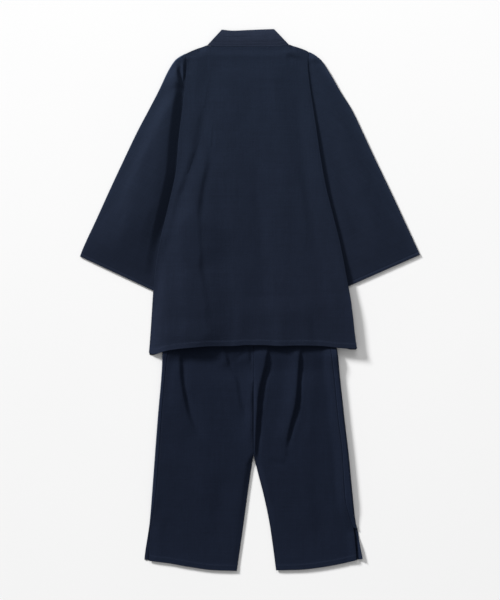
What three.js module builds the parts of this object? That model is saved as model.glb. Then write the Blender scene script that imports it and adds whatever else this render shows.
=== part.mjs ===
// A samue set, a cross-over cotton jacket and cropped trousers, laid flat with its back side up.
// Millimetres, +Z up. The neck points to +Y. The origin is on the surface it lies on, under the middle.
// Left and right are the wearer's: lying on its front, the wearer's left is at -X.
import * as THREE from "three";

// Cloth
const CLOTH = 1.2; // one layer
const SEAM_GAP = 0.3; // between pieces that are sewn together
const NECK_SEAM_GAP = 0.7; // along the neck, where the seam bends
const COLLAR_BAND = 2.4; // the collar is a double band
const COLLAR_WIDTH = 44;
const TIE_CLOTH = 1.1;
const TIE_WIDTH = 13;
const TIE_TOP_Y = 64;
const TIE_LENGTH = 163;
const TIE_REST_OUTER = 0.15; // on the surface, under the right front
const TIE_REST_INNER = 1.5; // on the left front's inside
const TIE_CLEARANCE = 0.4; // between a tie and the collar run beside it
const TIE_OUTER_RIGHT = { from: { x: 219, y: TIE_TOP_Y }, to: { x: 231, y: -106 } };
const TIE_INNER_LEFT = { from: { x: -213, y: TIE_TOP_Y }, to: { x: -222, y: -106 } };

// Heights of the underside of each layer where layers lie on each other
const OVER_ONE_COLLAR = COLLAR_BAND + SEAM_GAP; // the right front, where it crosses over the left one
const OVER_TIE = 1.55; // the right front, where it lies on the outer ties
const TROUSER_REST = 4.2; // the trousers' waist, on the crossed fronts
const BACK_OVER_FRONT = 3.4; // the jacket's back at its sides
const BACK_OVER_COLLARS = 5.6; // the jacket's back over both collar runs
const BACK_OVER_WAIST = 10.2; // the jacket's back over the trousers
const BACK_CORNER = 1.7; // the jacket's back at its left side seam, below the cuff
const BACK_SHOULDER = 1.6; // the jacket's back at the shoulder seam
const COLLAR_REST = 2.8; // the collar behind the neck, on the tops of its own front runs

// How far the two faces of a flattened tube stand apart, measured outside
const SLEEVE_INNER_HEIGHT = 2.95; // beside and under the body
const SLEEVE_OUTER_HEIGHT = 5.8; // at the outer fold
const SLEEVE_FOLD_RISE = 0.6; // of a ridge above that
const LEG_EDGE_HEIGHT = 6; // at the outer fold of a leg
const LEG_LOWEST = 2.9; // in the deepest trough
const LEG_HIGHEST = 6.3;
const LEG_MEAN = 4.8;
const CENTRE_SEAM_HEIGHT = 4.2;
const INSEAM_HEIGHT = 2.75;

// How far from each seam of a leg its height is reached
const LEG_SIDE_SLOPE = 26;
const CENTRE_SEAM_SLOPE = 16;
const INSEAM_SLOPE = 12;
const CROTCH_SLOPE_Y = [-376, -416];

// How deep the sleeve and the front panels sit under the side of the back panel
const SLEEVE_TUCK = 11;
const FRONT_TUCK = 12.6;
const FRONT_TUCK_BELOW_CUFF = 1;

// Where the back climbs from one layer onto the next. Each pair is the start and the end of the slope.
const CROSSED_HALF_WIDTH = { low: { y: 0, width: 165 }, high: { y: 600, width: 50 } };
const CROSSED_SLOPE = 55;
const NECK_SLOPE_Y = [605, 550];
const SHOULDER_ROUNDING = 16;
const SHOULDER_LEFT_X = { outer: [-131, -123], inner: [-107, -115] };
const SHOULDER_RIGHT_X = { outer: [114, 107], inner: [97, 104] };
const BACK_CORNER_SLOPE = 15;
const BACK_CORNER_Y = [0, -30];
const WAIST_SLOPE_Y = [30, -42];
const TROUSERS_SIDE_SLOPE_LEFT = [-222, -243];
const TROUSERS_SIDE_SLOPE_RIGHT = [224, 252];
const BACK_LOFT = { mean: 1.4, least: 0.1, most: 3.4 }; // over what it lies on
const BACK_LOFT_SLOPE = [4, 34]; // from the panel's edges
const COLLAR_CROSSING_SLOPE = [54, 26]; // right front beside the left collar run
const TIE_SLOPE_Y = [122, 96]; // right front above the outer ties
const COLLAR_RIGHT_SLOPE_Y = [545, 500]; // right collar run onto the left one
const TROUSERS_REST_SLOPE_Y = [-196, -132]; // trousers down from the fronts to the surface
const WAISTBAND_HEIGHT = 5; // the elastic holds it rounder than a seam
const WAISTBAND_CLOTH = 2; // the casing is a double band round the elastic

// Outlines, from the neck down
const NECK_SEAM_Y = 633;
const JACKET_TOP = [
  { x: -160, y: 615.5 },
  { x: -146, y: 622 },
  { x: -132.5, y: 627.5 },
  { x: -118, y: 632.5 },
  { x: -107, y: 636 },
  { x: -92, y: 633.8 },
  { x: -78, y: NECK_SEAM_Y },
  { x: 68, y: NECK_SEAM_Y },
  { x: 84, y: 634.2 },
  { x: 97, y: 638 },
  { x: 110, y: 634 },
  { x: 122.5, y: 630 },
  { x: 135, y: 625.5 },
  { x: 147, y: 619.5 },
];
const JACKET_LEFT = [
  { x: -160, y: 615.5 },
  { x: -158, y: 589.5 },
  { x: -161, y: 552.5 },
  { x: -169.5, y: 473 },
  { x: -178, y: 405 },
  { x: -184.5, y: 326 },
  { x: -201, y: 246.5 },
  { x: -221.5, y: 161.5 },
  { x: -233.5, y: 99 },
  { x: -241.5, y: 25.5 },
  { x: -245, y: -25.5 },
  { x: -249.5, y: -94 },
  { x: -252.5, y: -131.5 },
];
const JACKET_RIGHT = [
  { x: 147, y: 619.5 },
  { x: 144.5, y: 592 },
  { x: 148, y: 547 },
  { x: 156.5, y: 490 },
  { x: 165, y: 433.5 },
  { x: 176, y: 360 },
  { x: 190.5, y: 280.5 },
  { x: 207.5, y: 212.5 },
  { x: 224.5, y: 144.5 },
  { x: 244, y: 42.5 },
  { x: 253, y: -8.5 },
  { x: 263, y: -95 },
  { x: 267, y: -121 },
];
const JACKET_HEM = [
  { x: -252.5, y: -131.5 },
  { x: -246, y: -135 },
  { x: -237, y: -135.5 },
  { x: -216, y: -129 },
  { x: -200, y: -125.5 },
  { x: -175, y: -122 },
  { x: -137.5, y: -119 },
  { x: 7.5, y: -111 },
  { x: 220, y: -119.5 },
  { x: 257.5, y: -122 },
  { x: 267, y: -121 },
];
const COLLAR_TOP = [
  { x: -70.5, y: 675.5 },
  { x: -42.5, y: 673 },
  { x: -5, y: 674.5 },
  { x: 30, y: 676 },
  { x: 60, y: 677 },
];
const SLEEVE_LEFT_OUTER = [
  { x: -161, y: 616 },
  { x: -177, y: 607 },
  { x: -187, y: 599 },
  { x: -203.5, y: 574 },
  { x: -227.5, y: 524 },
  { x: -253.5, y: 474 },
  { x: -280, y: 424 },
  { x: -316, y: 349 },
  { x: -351, y: 274 },
  { x: -385, y: 199 },
  { x: -419.5, y: 124 },
  { x: -425, y: 109 },
];
const SLEEVE_RIGHT_OUTER = [
  { x: 148, y: 620 },
  { x: 159.5, y: 614 },
  { x: 170, y: 606.5 },
  { x: 178.5, y: 599 },
  { x: 195.5, y: 574 },
  { x: 224.5, y: 524 },
  { x: 255.5, y: 474 },
  { x: 279.5, y: 424 },
  { x: 314.5, y: 349 },
  { x: 350.5, y: 274 },
  { x: 385.5, y: 199 },
  { x: 420, y: 124 },
  { x: 425, y: 113 },
];
const SLEEVE_TOP_Y = 590;
const CUFF_LEFT_Y = 18.5; // the inner end of each cuff, under the body
const CUFF_RIGHT_Y = 29.5;

const COLLAR_BASE_LEFT_X = -107;
const COLLAR_BASE_RIGHT_X = 97;
// The collar's front run starts at the neck and ends above the waist
const COLLAR_LEFT_START = { x: -105, y: NECK_SEAM_Y };
const COLLAR_RIGHT_START = { x: 95, y: NECK_SEAM_Y };
const COLLAR_SLOPE = 0.344; // sideways for each millimetre down
const COLLAR_END_Y = -20;
const COLLAR_CLIMB = 34; // of a front run's top end, across its width
const FRONT_HEM_SHORTER = 4; // the fronts end this much above the back's hem
const SHOULDER_SEAM = 1; // and this much below its top edge

const TROUSERS_TOP_Y = -92.5;
const WAISTBAND_TOP_Y = -57;
const WAISTBAND_HALF_WIDTH = 200;
const CENTRE_SEAM_X = 8.75;
const TROUSERS_LEFT_OUTER = [
  { x: -208, y: TROUSERS_TOP_Y },
  { x: -218.5, y: -128 },
  { x: -220, y: -167 },
  { x: -223, y: -210 },
  { x: -228.5, y: -271 },
  { x: -235, y: -352.5 },
  { x: -242, y: -447 },
  { x: -251, y: -557.5 },
  { x: -255, y: -585 },
  { x: -263.5, y: -643 },
  { x: -264, y: -650 },
];
const TROUSERS_RIGHT_OUTER = [
  { x: 208, y: TROUSERS_TOP_Y },
  { x: 217.5, y: -122.5 },
  { x: 224.5, y: -189.5 },
  { x: 236.5, y: -300 },
  { x: 247, y: -390 },
  { x: 258, y: -504 },
  { x: 264.5, y: -557.5 },
  { x: 269.5, y: -575 },
  { x: 273.5, y: -605 },
  { x: 281, y: -643 },
  { x: 282, y: -649 },
];
// The outseam on the top face, and below it the side of the slit
const OUTSEAM_LEFT = [
  { x: -199, y: TROUSERS_TOP_Y },
  { x: -210, y: -167 },
  { x: -219.5, y: -271 },
  { x: -232, y: -447 },
  { x: -240, y: -520 },
  { x: -250, y: -580 },
  { x: -252, y: -652 },
];
const OUTSEAM_RIGHT = [
  { x: 194, y: TROUSERS_TOP_Y },
  { x: 202, y: -127.5 },
  { x: 210, y: -190 },
  { x: 220, y: -292.5 },
  { x: 230, y: -372.5 },
  { x: 238, y: -495 },
  { x: 246, y: -530 },
  { x: 260, y: -577.5 },
  { x: 267, y: -650 },
];
const INSEAM_LEFT = [
  { x: CENTRE_SEAM_X, y: -388 },
  { x: -3, y: -463 },
  { x: -13, y: -537 },
  { x: -21.5, y: -598 },
  { x: -33, y: -677 },
];
const INSEAM_RIGHT = [
  { x: CENTRE_SEAM_X, y: -388 },
  { x: 20.5, y: -435 },
  { x: 36, y: -496 },
  { x: 48.5, y: -557 },
  { x: 57, y: -614.5 },
  { x: 65, y: -675.5 },
];
const LEG_HEM_LEFT = [
  { x: -252, y: -652 },
  { x: -206, y: -657.5 },
  { x: -152.5, y: -667 },
  { x: -91.5, y: -675 },
  { x: -33, y: -677 },
];
const LEG_HEM_RIGHT = [
  { x: 65, y: -675.5 },
  { x: 118, y: -674.5 },
  { x: 179, y: -668 },
  { x: 228, y: -659 },
  { x: 267, y: -650 },
];

// The outer roll of a leg opens into a slit: full above the first height, flat below the last
const ROLL_FULL_Y = -490;
const ROLL_HALF_Y = -535;
const SLIT_TOP_Y = -577;
const SLIT_FLAP = 5;
const LEG_FRONT_SHORTER = 3; // than the back, at the hem

// Folds. Each one runs down its points; depth is negative for a trough, width is its half width.
const JACKET_FOLDS = [
  { depth: -1.5, width: 15, points: [[-110, 473], [-125, 248], [-115, 78], [-98, -92]] },
  { depth: 1.4, width: 17, points: [[-132, 383], [-167, 133], [-183, -37], [-190, -105]] },
  { depth: -1.2, width: 9, points: [[-160, 584], [-166, 520], [-172, 450]] },
  { depth: 1.2, width: 14, points: [[-140, 590], [-146, 470], [-150, 350]] },
  { depth: -1.4, width: 10, points: [[91, 612], [122, 603], [143, 590]] },
  { depth: 1, width: 20, points: [[60, 560], [80, 330], [96, 90]] },
  { depth: -1, width: 18, points: [[118, 520], [140, 260], [165, 20]] },
  { depth: 0.9, width: 24, points: [[-40, 540], [-44, 250], [-30, 0]] },
  { depth: -0.8, width: 20, points: [[15, 420], [24, 160], [30, -60]] },
  { depth: 1.1, width: 18, points: [[176, 230], [206, 40], [222, -90]] },
];
const SLEEVE_LEFT_FOLDS = [
  { depth: -1.4, width: 9, points: [[-184, 588], [-175, 560], [-167, 535]] },
  { depth: -1.1, width: 15, points: [[-190, 470], [-213, 330], [-236, 200]] },
  { depth: 1, width: 22, points: [[-238, 470], [-290, 290], [-330, 150]] },
];
const SLEEVE_RIGHT_FOLDS = [
  { depth: -1.2, width: 8, points: [[158, 585], [164, 540], [170, 500]] },
  { depth: 0.9, width: 22, points: [[222, 440], [282, 250], [330, 120]] },
  { depth: -0.8, width: 16, points: [[205, 380], [250, 220], [290, 90]] },
];
const TROUSER_FOLDS = [
  { depth: -1.7, width: 9, points: [[-171, -120], [-167, -190], [-160, -243], [-147, -293], [-130, -333]] },
  { depth: 1.2, width: 12, points: [[-190, -120], [-186, -220], [-176, -330]] },
  { depth: -1.2, width: 8, points: [[-55, -115], [-49, -170]] },
  { depth: -1.4, width: 9, points: [[-30, -192], [-23, -250], [-10, -293]] },
  { depth: -2, width: 8, points: [[48, -115], [42, -165], [24, -222], [18, -262], [22, -308], [18, -358]] },
  { depth: 1.3, width: 11, points: [[76, -115], [62, -210], [46, -310]] },
  { depth: -1.5, width: 9, points: [[124, -115], [122, -190], [116, -262], [104, -315], [93, -370]] },
  { depth: 1.1, width: 13, points: [[160, -115], [156, -240], [146, -380]] },
  { depth: 1, width: 18, points: [[-110, -200], [-108, -380], [-130, -560]] },
  { depth: -0.8, width: 20, points: [[165, -420], [170, -520], [178, -620]] },
];

const CLOTH_COLOURS = {
  jacket: 0x1f2636,
  sleeve: 0x202737,
  collar: 0x262e3d,
  trousers: 0x191f2d,
  tie: 0x1f2636,
};

// Plain helpers

function clamp(value, low, high) {
  return Math.min(Math.max(value, low), high);
}

function lerp(a, b, share) {
  return a + (b - a) * share;
}

// 0 below `from`, 1 past `to`, smooth between; `from` may be the larger one.
function ramp(value, from, to) {
  const share = clamp((value - from) / (to - from), 0, 1);
  return share * share * (3 - 2 * share);
}

// A smooth curve through a table's rows, without overshoot, as a function of one of its columns.
function curve(table, from, to) {
  const rows = [...table].sort((a, b) => a[from] - b[from]);
  const last = rows.length - 1;
  const secants = [];
  for (let i = 0; i < last; i++) {
    secants.push((rows[i + 1][to] - rows[i][to]) / (rows[i + 1][from] - rows[i][from]));
  }
  const slopes = rows.map((row, i) => {
    if (i === 0) return secants[0];
    if (i === last) return secants[last - 1];
    const product = secants[i - 1] * secants[i];
    return product <= 0 ? 0 : (2 * product) / (secants[i - 1] + secants[i]);
  });
  return (value) => {
    const at = clamp(value, rows[0][from], rows[last][from]);
    let i = 0;
    while (i < last - 1 && at > rows[i + 1][from]) i++;
    const span = rows[i + 1][from] - rows[i][from];
    const t = (at - rows[i][from]) / span;
    const t2 = t * t;
    const t3 = t2 * t;
    return (
      (2 * t3 - 3 * t2 + 1) * rows[i][to] +
      (t3 - 2 * t2 + t) * span * slopes[i] +
      (3 * t2 - 2 * t3) * rows[i + 1][to] +
      (t3 - t2) * span * slopes[i + 1]
    );
  };
}

// How far one fold moves the cloth up or down at a place
function foldAt(fold, x, y) {
  let best = Infinity;
  for (let i = 0; i + 1 < fold.points.length; i++) {
    const [ax, ay] = fold.points[i];
    const [bx, by] = fold.points[i + 1];
    const length2 = (bx - ax) ** 2 + (by - ay) ** 2;
    const share = clamp(((x - ax) * (bx - ax) + (y - ay) * (by - ay)) / length2, 0, 1);
    best = Math.min(best, Math.hypot(x - lerp(ax, bx, share), y - lerp(ay, by, share)));
  }
  return fold.depth * Math.exp(-((best / fold.width) ** 2));
}

function foldsAt(folds, x, y) {
  return folds.reduce((sum, fold) => sum + foldAt(fold, x, y), 0);
}

// Shares from 0 to 1 in `count` steps, closer together near both ends.
function shares(count, crowding = 0.6) {
  return Array.from({ length: count + 1 }, (_, i) => lerp(i / count, ramp(i / count, 0, 1), crowding));
}

// A closed wall between two grids of points with the same layout: one face, the other, and the rim.
// With `loop`, each row is a closed ring and only the two ends have a rim.
function wall(outer, inner, loop = false) {
  const rows = outer.length;
  const columns = outer[0].length;
  const positions = [...outer.flat(), ...inner.flat()].flat();
  const index = [];
  const at = (face, row, column) => face * rows * columns + row * columns + (column % columns);
  const quad = (a, b, c, d) => index.push(a, b, c, a, c, d);
  const steps = loop ? columns : columns - 1;
  for (let row = 0; row + 1 < rows; row++) {
    for (let column = 0; column < steps; column++) {
      quad(at(0, row, column), at(0, row, column + 1), at(0, row + 1, column + 1), at(0, row + 1, column));
      quad(at(1, row, column), at(1, row + 1, column), at(1, row + 1, column + 1), at(1, row, column + 1));
    }
  }
  for (let column = 0; column < steps; column++) {
    quad(at(0, 0, column), at(1, 0, column), at(1, 0, column + 1), at(0, 0, column + 1));
    const end = rows - 1;
    quad(at(0, end, column), at(0, end, column + 1), at(1, end, column + 1), at(1, end, column));
  }
  if (!loop) {
    const side = columns - 1;
    for (let row = 0; row + 1 < rows; row++) {
      quad(at(0, row, 0), at(0, row + 1, 0), at(1, row + 1, 0), at(1, row, 0));
      quad(at(0, row, side), at(1, row, side), at(1, row + 1, side), at(0, row + 1, side));
    }
  }
  if (signedVolume(positions, index) < 0) index.reverse();
  const geometry = new THREE.BufferGeometry();
  geometry.setAttribute("position", new THREE.Float32BufferAttribute(positions, 3));
  geometry.setIndex(index);
  geometry.computeVertexNormals();
  return geometry;
}

function signedVolume(positions, index) {
  const corner = (i) => new THREE.Vector3().fromArray(positions, 3 * index[i]);
  let volume = 0;
  for (let i = 0; i < index.length; i += 3) {
    volume += corner(i).dot(corner(i + 1).cross(corner(i + 2))) / 6;
  }
  return volume;
}

// A panel of cloth over an area with four sides. `left` and `right` give x from y, `top` and `bottom`
// give y from x, `underside` gives the height of its lower face.
function panel({ left, right, top, bottom, corners, across, down, underside, thickness = () => CLOTH }) {
  const upper = [];
  const lower = [];
  for (const v of down) {
    const upperRow = [];
    const lowerRow = [];
    for (const u of across) {
      const yLeft = lerp(corners.topLeft.y, corners.bottomLeft.y, v);
      const yRight = lerp(corners.topRight.y, corners.bottomRight.y, v);
      const x = lerp(left(yLeft), right(yRight), u);
      const yTop = top(lerp(corners.topLeft.x, corners.topRight.x, u));
      const yBottom = bottom(lerp(corners.bottomLeft.x, corners.bottomRight.x, u));
      const y = lerp(yTop, yBottom, v);
      const z = underside(x, y, u, v);
      lowerRow.push([x, y, z]);
      upperRow.push([x, y, z + thickness(x, y, u, v)]);
    }
    upper.push(upperRow);
    lower.push(lowerRow);
  }
  return wall(upper, lower);
}

const jacketLeft = curve(JACKET_LEFT, "y", "x");
const jacketRight = curve(JACKET_RIGHT, "y", "x");
const jacketTop = curve(JACKET_TOP, "x", "y");
const jacketHem = curve(JACKET_HEM, "x", "y");

// The line along which a front panel meets its collar run
function frontEdgeLeft(y) {
  return COLLAR_LEFT_START.x + COLLAR_SLOPE * (COLLAR_LEFT_START.y - Math.max(y, COLLAR_END_Y));
}

function frontEdgeRight(y) {
  return COLLAR_RIGHT_START.x - COLLAR_SLOPE * (COLLAR_RIGHT_START.y - Math.max(y, COLLAR_END_Y));
}

// Jacket, back

// The lowest the back may lie, over all that is under it
function backFloor(x, y) {
  const { low, high } = CROSSED_HALF_WIDTH;
  const halfWidth = lerp(low.width, high.width, ramp(y, low.y, high.y));
  const crossed = ramp(y, ...NECK_SLOPE_Y) * ramp(Math.abs(x), halfWidth + CROSSED_SLOPE, halfWidth);
  const overFronts = lerp(BACK_OVER_FRONT, BACK_OVER_COLLARS, crossed);
  const shoulder = x < 0 ? SHOULDER_LEFT_X : SHOULDER_RIGHT_X;
  const onShoulder = ramp(x, ...shoulder.outer) * ramp(x, ...shoulder.inner);
  const atShoulderSeam = ramp(y, jacketTop(x) - SHOULDER_ROUNDING, jacketTop(x)) * onShoulder;
  const atCorner = ramp(x - jacketLeft(y), BACK_CORNER_SLOPE, 0) * ramp(y, ...BACK_CORNER_Y);
  const besideTrousers = ramp(x, ...TROUSERS_SIDE_SLOPE_LEFT) + ramp(x, ...TROUSERS_SIDE_SLOPE_RIGHT);
  const overWaist = ramp(y, ...WAIST_SLOPE_Y) * (1 - besideTrousers);
  const atSides = lerp(lerp(overFronts, BACK_SHOULDER, atShoulderSeam), BACK_CORNER, atCorner);
  return lerp(atSides, BACK_OVER_WAIST, overWaist);
}

function backUnderside(x, y) {
  const fromEdge = Math.min(x - jacketLeft(y), jacketRight(y) - x, jacketTop(x) - y);
  const loft = clamp(BACK_LOFT.mean + foldsAt(JACKET_FOLDS, x, y), BACK_LOFT.least, BACK_LOFT.most);
  return backFloor(x, y) + loft * ramp(fromEdge, ...BACK_LOFT_SLOPE);
}

function jacketBack() {
  return panel({
    left: jacketLeft,
    right: jacketRight,
    top: jacketTop,
    bottom: jacketHem,
    corners: {
      topLeft: JACKET_LEFT[0],
      bottomLeft: JACKET_LEFT.at(-1),
      topRight: JACKET_RIGHT[0],
      bottomRight: JACKET_RIGHT.at(-1),
    },
    across: shares(26),
    down: shares(34, 0.3),
    underside: backUnderside,
  });
}

// Jacket, fronts

const frontRows = shares(25, 0);

const frontHem = (x) => jacketHem(x) + FRONT_HEM_SHORTER;
const frontTop = (x) => jacketTop(x) - SHOULDER_SEAM;

// The side seam lies under the body, inside the sleeve's edge, and reaches the side below the cuff.
function frontTuck(y, cuffY) {
  return lerp(FRONT_TUCK, FRONT_TUCK_BELOW_CUFF, ramp(y, cuffY - 8, cuffY - 18));
}

const frontSideLeft = (y) => jacketLeft(y) + frontTuck(y, CUFF_LEFT_Y);
const frontSideRight = (y) => jacketRight(y) - frontTuck(y, CUFF_RIGHT_Y);

function frontRightUnderside(x, y) {
  const collarEdge = frontEdgeLeft(y) + COLLAR_WIDTH;
  const [from, to] = COLLAR_CROSSING_SLOPE;
  const overCollar = OVER_ONE_COLLAR * ramp(x, collarEdge + from, collarEdge + to);
  return Math.max(overCollar, OVER_TIE * ramp(y, ...TIE_SLOPE_Y));
}

function frontLeft() {
  const topX = -146; // where the shoulder seam meets the armhole
  const bottomX = jacketLeft(-Infinity) + 3.5;
  const endX = frontEdgeLeft(COLLAR_END_Y);
  return panel({
    left: (y) => (y > SLEEVE_TOP_Y ? topX : frontSideLeft(y)),
    right: frontEdgeLeft,
    top: frontTop,
    bottom: frontHem,
    corners: {
      topLeft: { x: topX, y: frontTop(topX) },
      bottomLeft: { x: bottomX, y: frontHem(bottomX) },
      topRight: { x: COLLAR_LEFT_START.x, y: frontTop(COLLAR_LEFT_START.x) },
      bottomRight: { x: endX, y: frontHem(endX) },
    },
    across: [0, 0.5, 1],
    down: frontRows,
    underside: () => 0,
  });
}

function frontRight() {
  const topX = 132;
  const bottomX = jacketRight(-Infinity) - 3.5;
  const endX = frontEdgeRight(COLLAR_END_Y);
  return panel({
    left: frontEdgeRight,
    right: (y) => (y > SLEEVE_TOP_Y ? topX : frontSideRight(y)),
    top: frontTop,
    bottom: frontHem,
    corners: {
      topLeft: { x: COLLAR_RIGHT_START.x, y: frontTop(COLLAR_RIGHT_START.x) },
      bottomLeft: { x: endX, y: frontHem(endX) },
      topRight: { x: topX, y: frontTop(topX) },
      bottomRight: { x: bottomX, y: frontHem(bottomX) },
    },
    across: shares(14, 0.2),
    down: frontRows,
    underside: frontRightUnderside,
  });
}

// Collar

// The band behind the neck stands on the neck seam, which climbs at both of its ends.
function collarBack() {
  const seam = (x) => jacketTop(x) + NECK_SEAM_GAP;
  const corner = {
    topLeft: COLLAR_TOP[0],
    bottomLeft: { x: COLLAR_BASE_LEFT_X, y: seam(COLLAR_BASE_LEFT_X) },
    topRight: COLLAR_TOP.at(-1),
    bottomRight: { x: COLLAR_BASE_RIGHT_X, y: seam(COLLAR_BASE_RIGHT_X) },
  };
  const slant = (top, base) => (y) => lerp(base.x, top.x, (y - base.y) / (top.y - base.y));
  return panel({
    left: slant(corner.topLeft, corner.bottomLeft),
    right: slant(corner.topRight, corner.bottomRight),
    top: curve(COLLAR_TOP, "x", "y"),
    bottom: seam,
    corners: corner,
    across: shares(20, 0.4),
    down: shares(4, 0),
    underside: () => COLLAR_REST,
    thickness: (x, y, u, v) => COLLAR_BAND + 0.2 + 0.5 * Math.sin(Math.PI * v),
  });
}

// One front run of the collar, beside a front panel's edge. `side` is 1 where it lies to the right of it.
function collarRun(frontEdge, start, side, underside) {
  const rows = 26;
  const lower = [];
  const upper = [];
  for (let i = 0; i <= rows; i++) {
    const lowerRow = [];
    const upperRow = [];
    for (const share of [0, 0.5, 1]) {
      // The top end follows the fold behind the neck, which climbs across the band.
      const topY = start.y - 2 + COLLAR_CLIMB * share;
      const y = lerp(topY, COLLAR_END_Y, i / rows);
      const x = frontEdge(y) + side * (SEAM_GAP + COLLAR_WIDTH * share);
      const z = underside(y);
      lowerRow.push([x, y, z]);
      upperRow.push([x, y, z + COLLAR_BAND]);
    }
    lower.push(lowerRow);
    upper.push(upperRow);
  }
  return wall(upper, lower);
}

const overLeftRun = (y) => OVER_ONE_COLLAR * ramp(y, ...COLLAR_RIGHT_SLOPE_Y);
const collarLeft = () => collarRun(frontEdgeLeft, COLLAR_LEFT_START, 1, () => 0);
const collarRight = () => collarRun(frontEdgeRight, COLLAR_RIGHT_START, -1, overLeftRun);

// Ties

// A strip from the collar or the side seam, drawn down beside the front edge
function tie({ from, to }, rest) {
  const along = new THREE.Vector2(to.x - from.x, to.y - from.y).normalize();
  const steps = 6;
  const lower = [];
  const upper = [];
  for (let i = 0; i <= steps; i++) {
    const centre = { x: lerp(from.x, to.x, i / steps), y: lerp(from.y, to.y, i / steps) };
    const edges = [-0.5, 0.5].map((share) => [
      centre.x - along.y * TIE_WIDTH * share,
      centre.y + along.x * TIE_WIDTH * share,
    ]);
    lower.push(edges.map(([x, y]) => [x, y, rest]));
    upper.push(edges.map(([x, y]) => [x, y, rest + TIE_CLOTH]));
  }
  return wall(upper, lower);
}

// A tie that is sewn to a collar run's outer edge and lies along it
function tieAtCollar(frontEdge, side, rest) {
  const beside = SEAM_GAP + COLLAR_WIDTH + SEAM_GAP + TIE_CLEARANCE + TIE_WIDTH / 2;
  const from = { x: frontEdge(TIE_TOP_Y) + side * beside, y: TIE_TOP_Y };
  const down = TIE_LENGTH / Math.hypot(1, COLLAR_SLOPE);
  const to = { x: from.x + side * COLLAR_SLOPE * down, y: from.y - down };
  return tie({ from, to }, rest);
}

// Sleeves

// A flattened tube from the armhole to the cuff. `outer` is its outer edge from the shoulder down,
// `inner` gives the inner edge's x from y, and `beyond` how far a place lies outside the body's side.
function sleeve(outerTable, inner, innerTopY, innerCuffY, folds, beyond) {
  const outerX = curve(outerTable, "y", "x");
  const outerGrid = [];
  const innerGrid = [];
  for (const v of shares(15, 0.1)) {
    const outerY = lerp(outerTable[0].y, outerTable.at(-1).y, v);
    const innerY = lerp(innerTopY, innerCuffY, v);
    const from = new THREE.Vector2(inner(innerY), innerY);
    const to = new THREE.Vector2(outerX(outerY), outerY);
    const width = from.distanceTo(to);
    const place = (a) => from.clone().lerp(to, a / width);
    const height = (a) => sleeveHeight(a, width, place(a), folds, beyond);
    const ring = sleeveRing(width, height);
    const point = ([a, z]) => [...place(a).toArray(), z];
    outerGrid.push(ring.map(({ outer }) => point(outer)));
    innerGrid.push(ring.map(({ inner: inside }) => point(inside)));
  }
  return wall(outerGrid, innerGrid, true);
}

// How high the upper face lies at `a` across a sleeve: low beside the body, highest at the outer fold
function sleeveHeight(a, width, spot, folds, beyond) {
  const low = 14;
  const high = Math.max(low + 10, 0.5 * width - SLEEVE_TUCK);
  const level = lerp(SLEEVE_INNER_HEIGHT, SLEEVE_OUTER_HEIGHT, ramp(beyond(spot), low, high));
  const free = ramp(beyond(spot), low, low + 30) * ramp(width - a, 4, 40);
  const folded = level + foldsAt(folds, spot.x, spot.y) * free;
  return clamp(folded, SLEEVE_INNER_HEIGHT, SLEEVE_OUTER_HEIGHT + SLEEVE_FOLD_RISE);
}

// The section of a sleeve as a ring of places, each on the wall's outer face and on its inner face
function sleeveRing(width, height) {
  const innerRadius = SLEEVE_INNER_HEIGHT / 2;
  const outerRadius = height(width - SLEEVE_OUTER_HEIGHT / 2) / 2;
  const across = (share) => lerp(innerRadius, width - outerRadius, share);
  const bend = (centre, radius, degrees) => {
    const angle = THREE.MathUtils.degToRad(degrees);
    const at = (reach) => [centre + reach * Math.cos(angle), radius + reach * Math.sin(angle)];
    return { outer: at(radius), inner: at(radius - CLOTH) };
  };
  const below = [0, 0.33, 0.67, 1].map((share) => ({
    outer: [across(share), 0],
    inner: [across(share), CLOTH],
  }));
  const above = [1, 0.88, 0.75, 0.62, 0.5, 0.38, 0.26, 0.14, 0].map((share) => {
    const z = share === 1 ? 2 * outerRadius : height(across(share));
    return { outer: [across(share), z], inner: [across(share), z - CLOTH] };
  });
  const outerBend = [-45, 0, 45].map((degrees) => bend(width - outerRadius, outerRadius, degrees));
  const innerBend = [135, 180, 225].map((degrees) => bend(innerRadius, innerRadius, degrees));
  return [...below, ...outerBend, ...above, ...innerBend];
}

function sleeveLeft() {
  const inner = (y) => jacketLeft(y) + SLEEVE_TUCK;
  const beyond = ({ x, y }) => jacketLeft(y) - x;
  return sleeve(SLEEVE_LEFT_OUTER, inner, SLEEVE_TOP_Y, CUFF_LEFT_Y, SLEEVE_LEFT_FOLDS, beyond);
}

function sleeveRight() {
  const inner = (y) => jacketRight(y) - SLEEVE_TUCK;
  const beyond = ({ x, y }) => x - jacketRight(y);
  return sleeve(SLEEVE_RIGHT_OUTER, inner, SLEEVE_TOP_Y + 2, CUFF_RIGHT_Y, SLEEVE_RIGHT_FOLDS, beyond);
}

// Trousers

const legOuter = { left: curve(TROUSERS_LEFT_OUTER, "y", "x"), right: curve(TROUSERS_RIGHT_OUTER, "y", "x") };
const outseam = { left: curve(OUTSEAM_LEFT, "y", "x"), right: curve(OUTSEAM_RIGHT, "y", "x") };
const inseam = { left: curve(INSEAM_LEFT, "y", "x"), right: curve(INSEAM_RIGHT, "y", "x") };
const legHem = { left: curve(LEG_HEM_LEFT, "x", "y"), right: curve(LEG_HEM_RIGHT, "x", "y") };

// The trousers lie on the jacket's fronts at the waist and on the surface below its hem.
function trouserRest(y) {
  return TROUSER_REST * ramp(y, ...TROUSERS_REST_SLOPE_Y);
}

// The inner side of a leg: the centre seam, and below the crotch the inseam
function legInner(side, y) {
  const gap = (side === "left" ? -1 : 1) * (SEAM_GAP / 2);
  return inseam[side](y) + gap;
}

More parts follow.
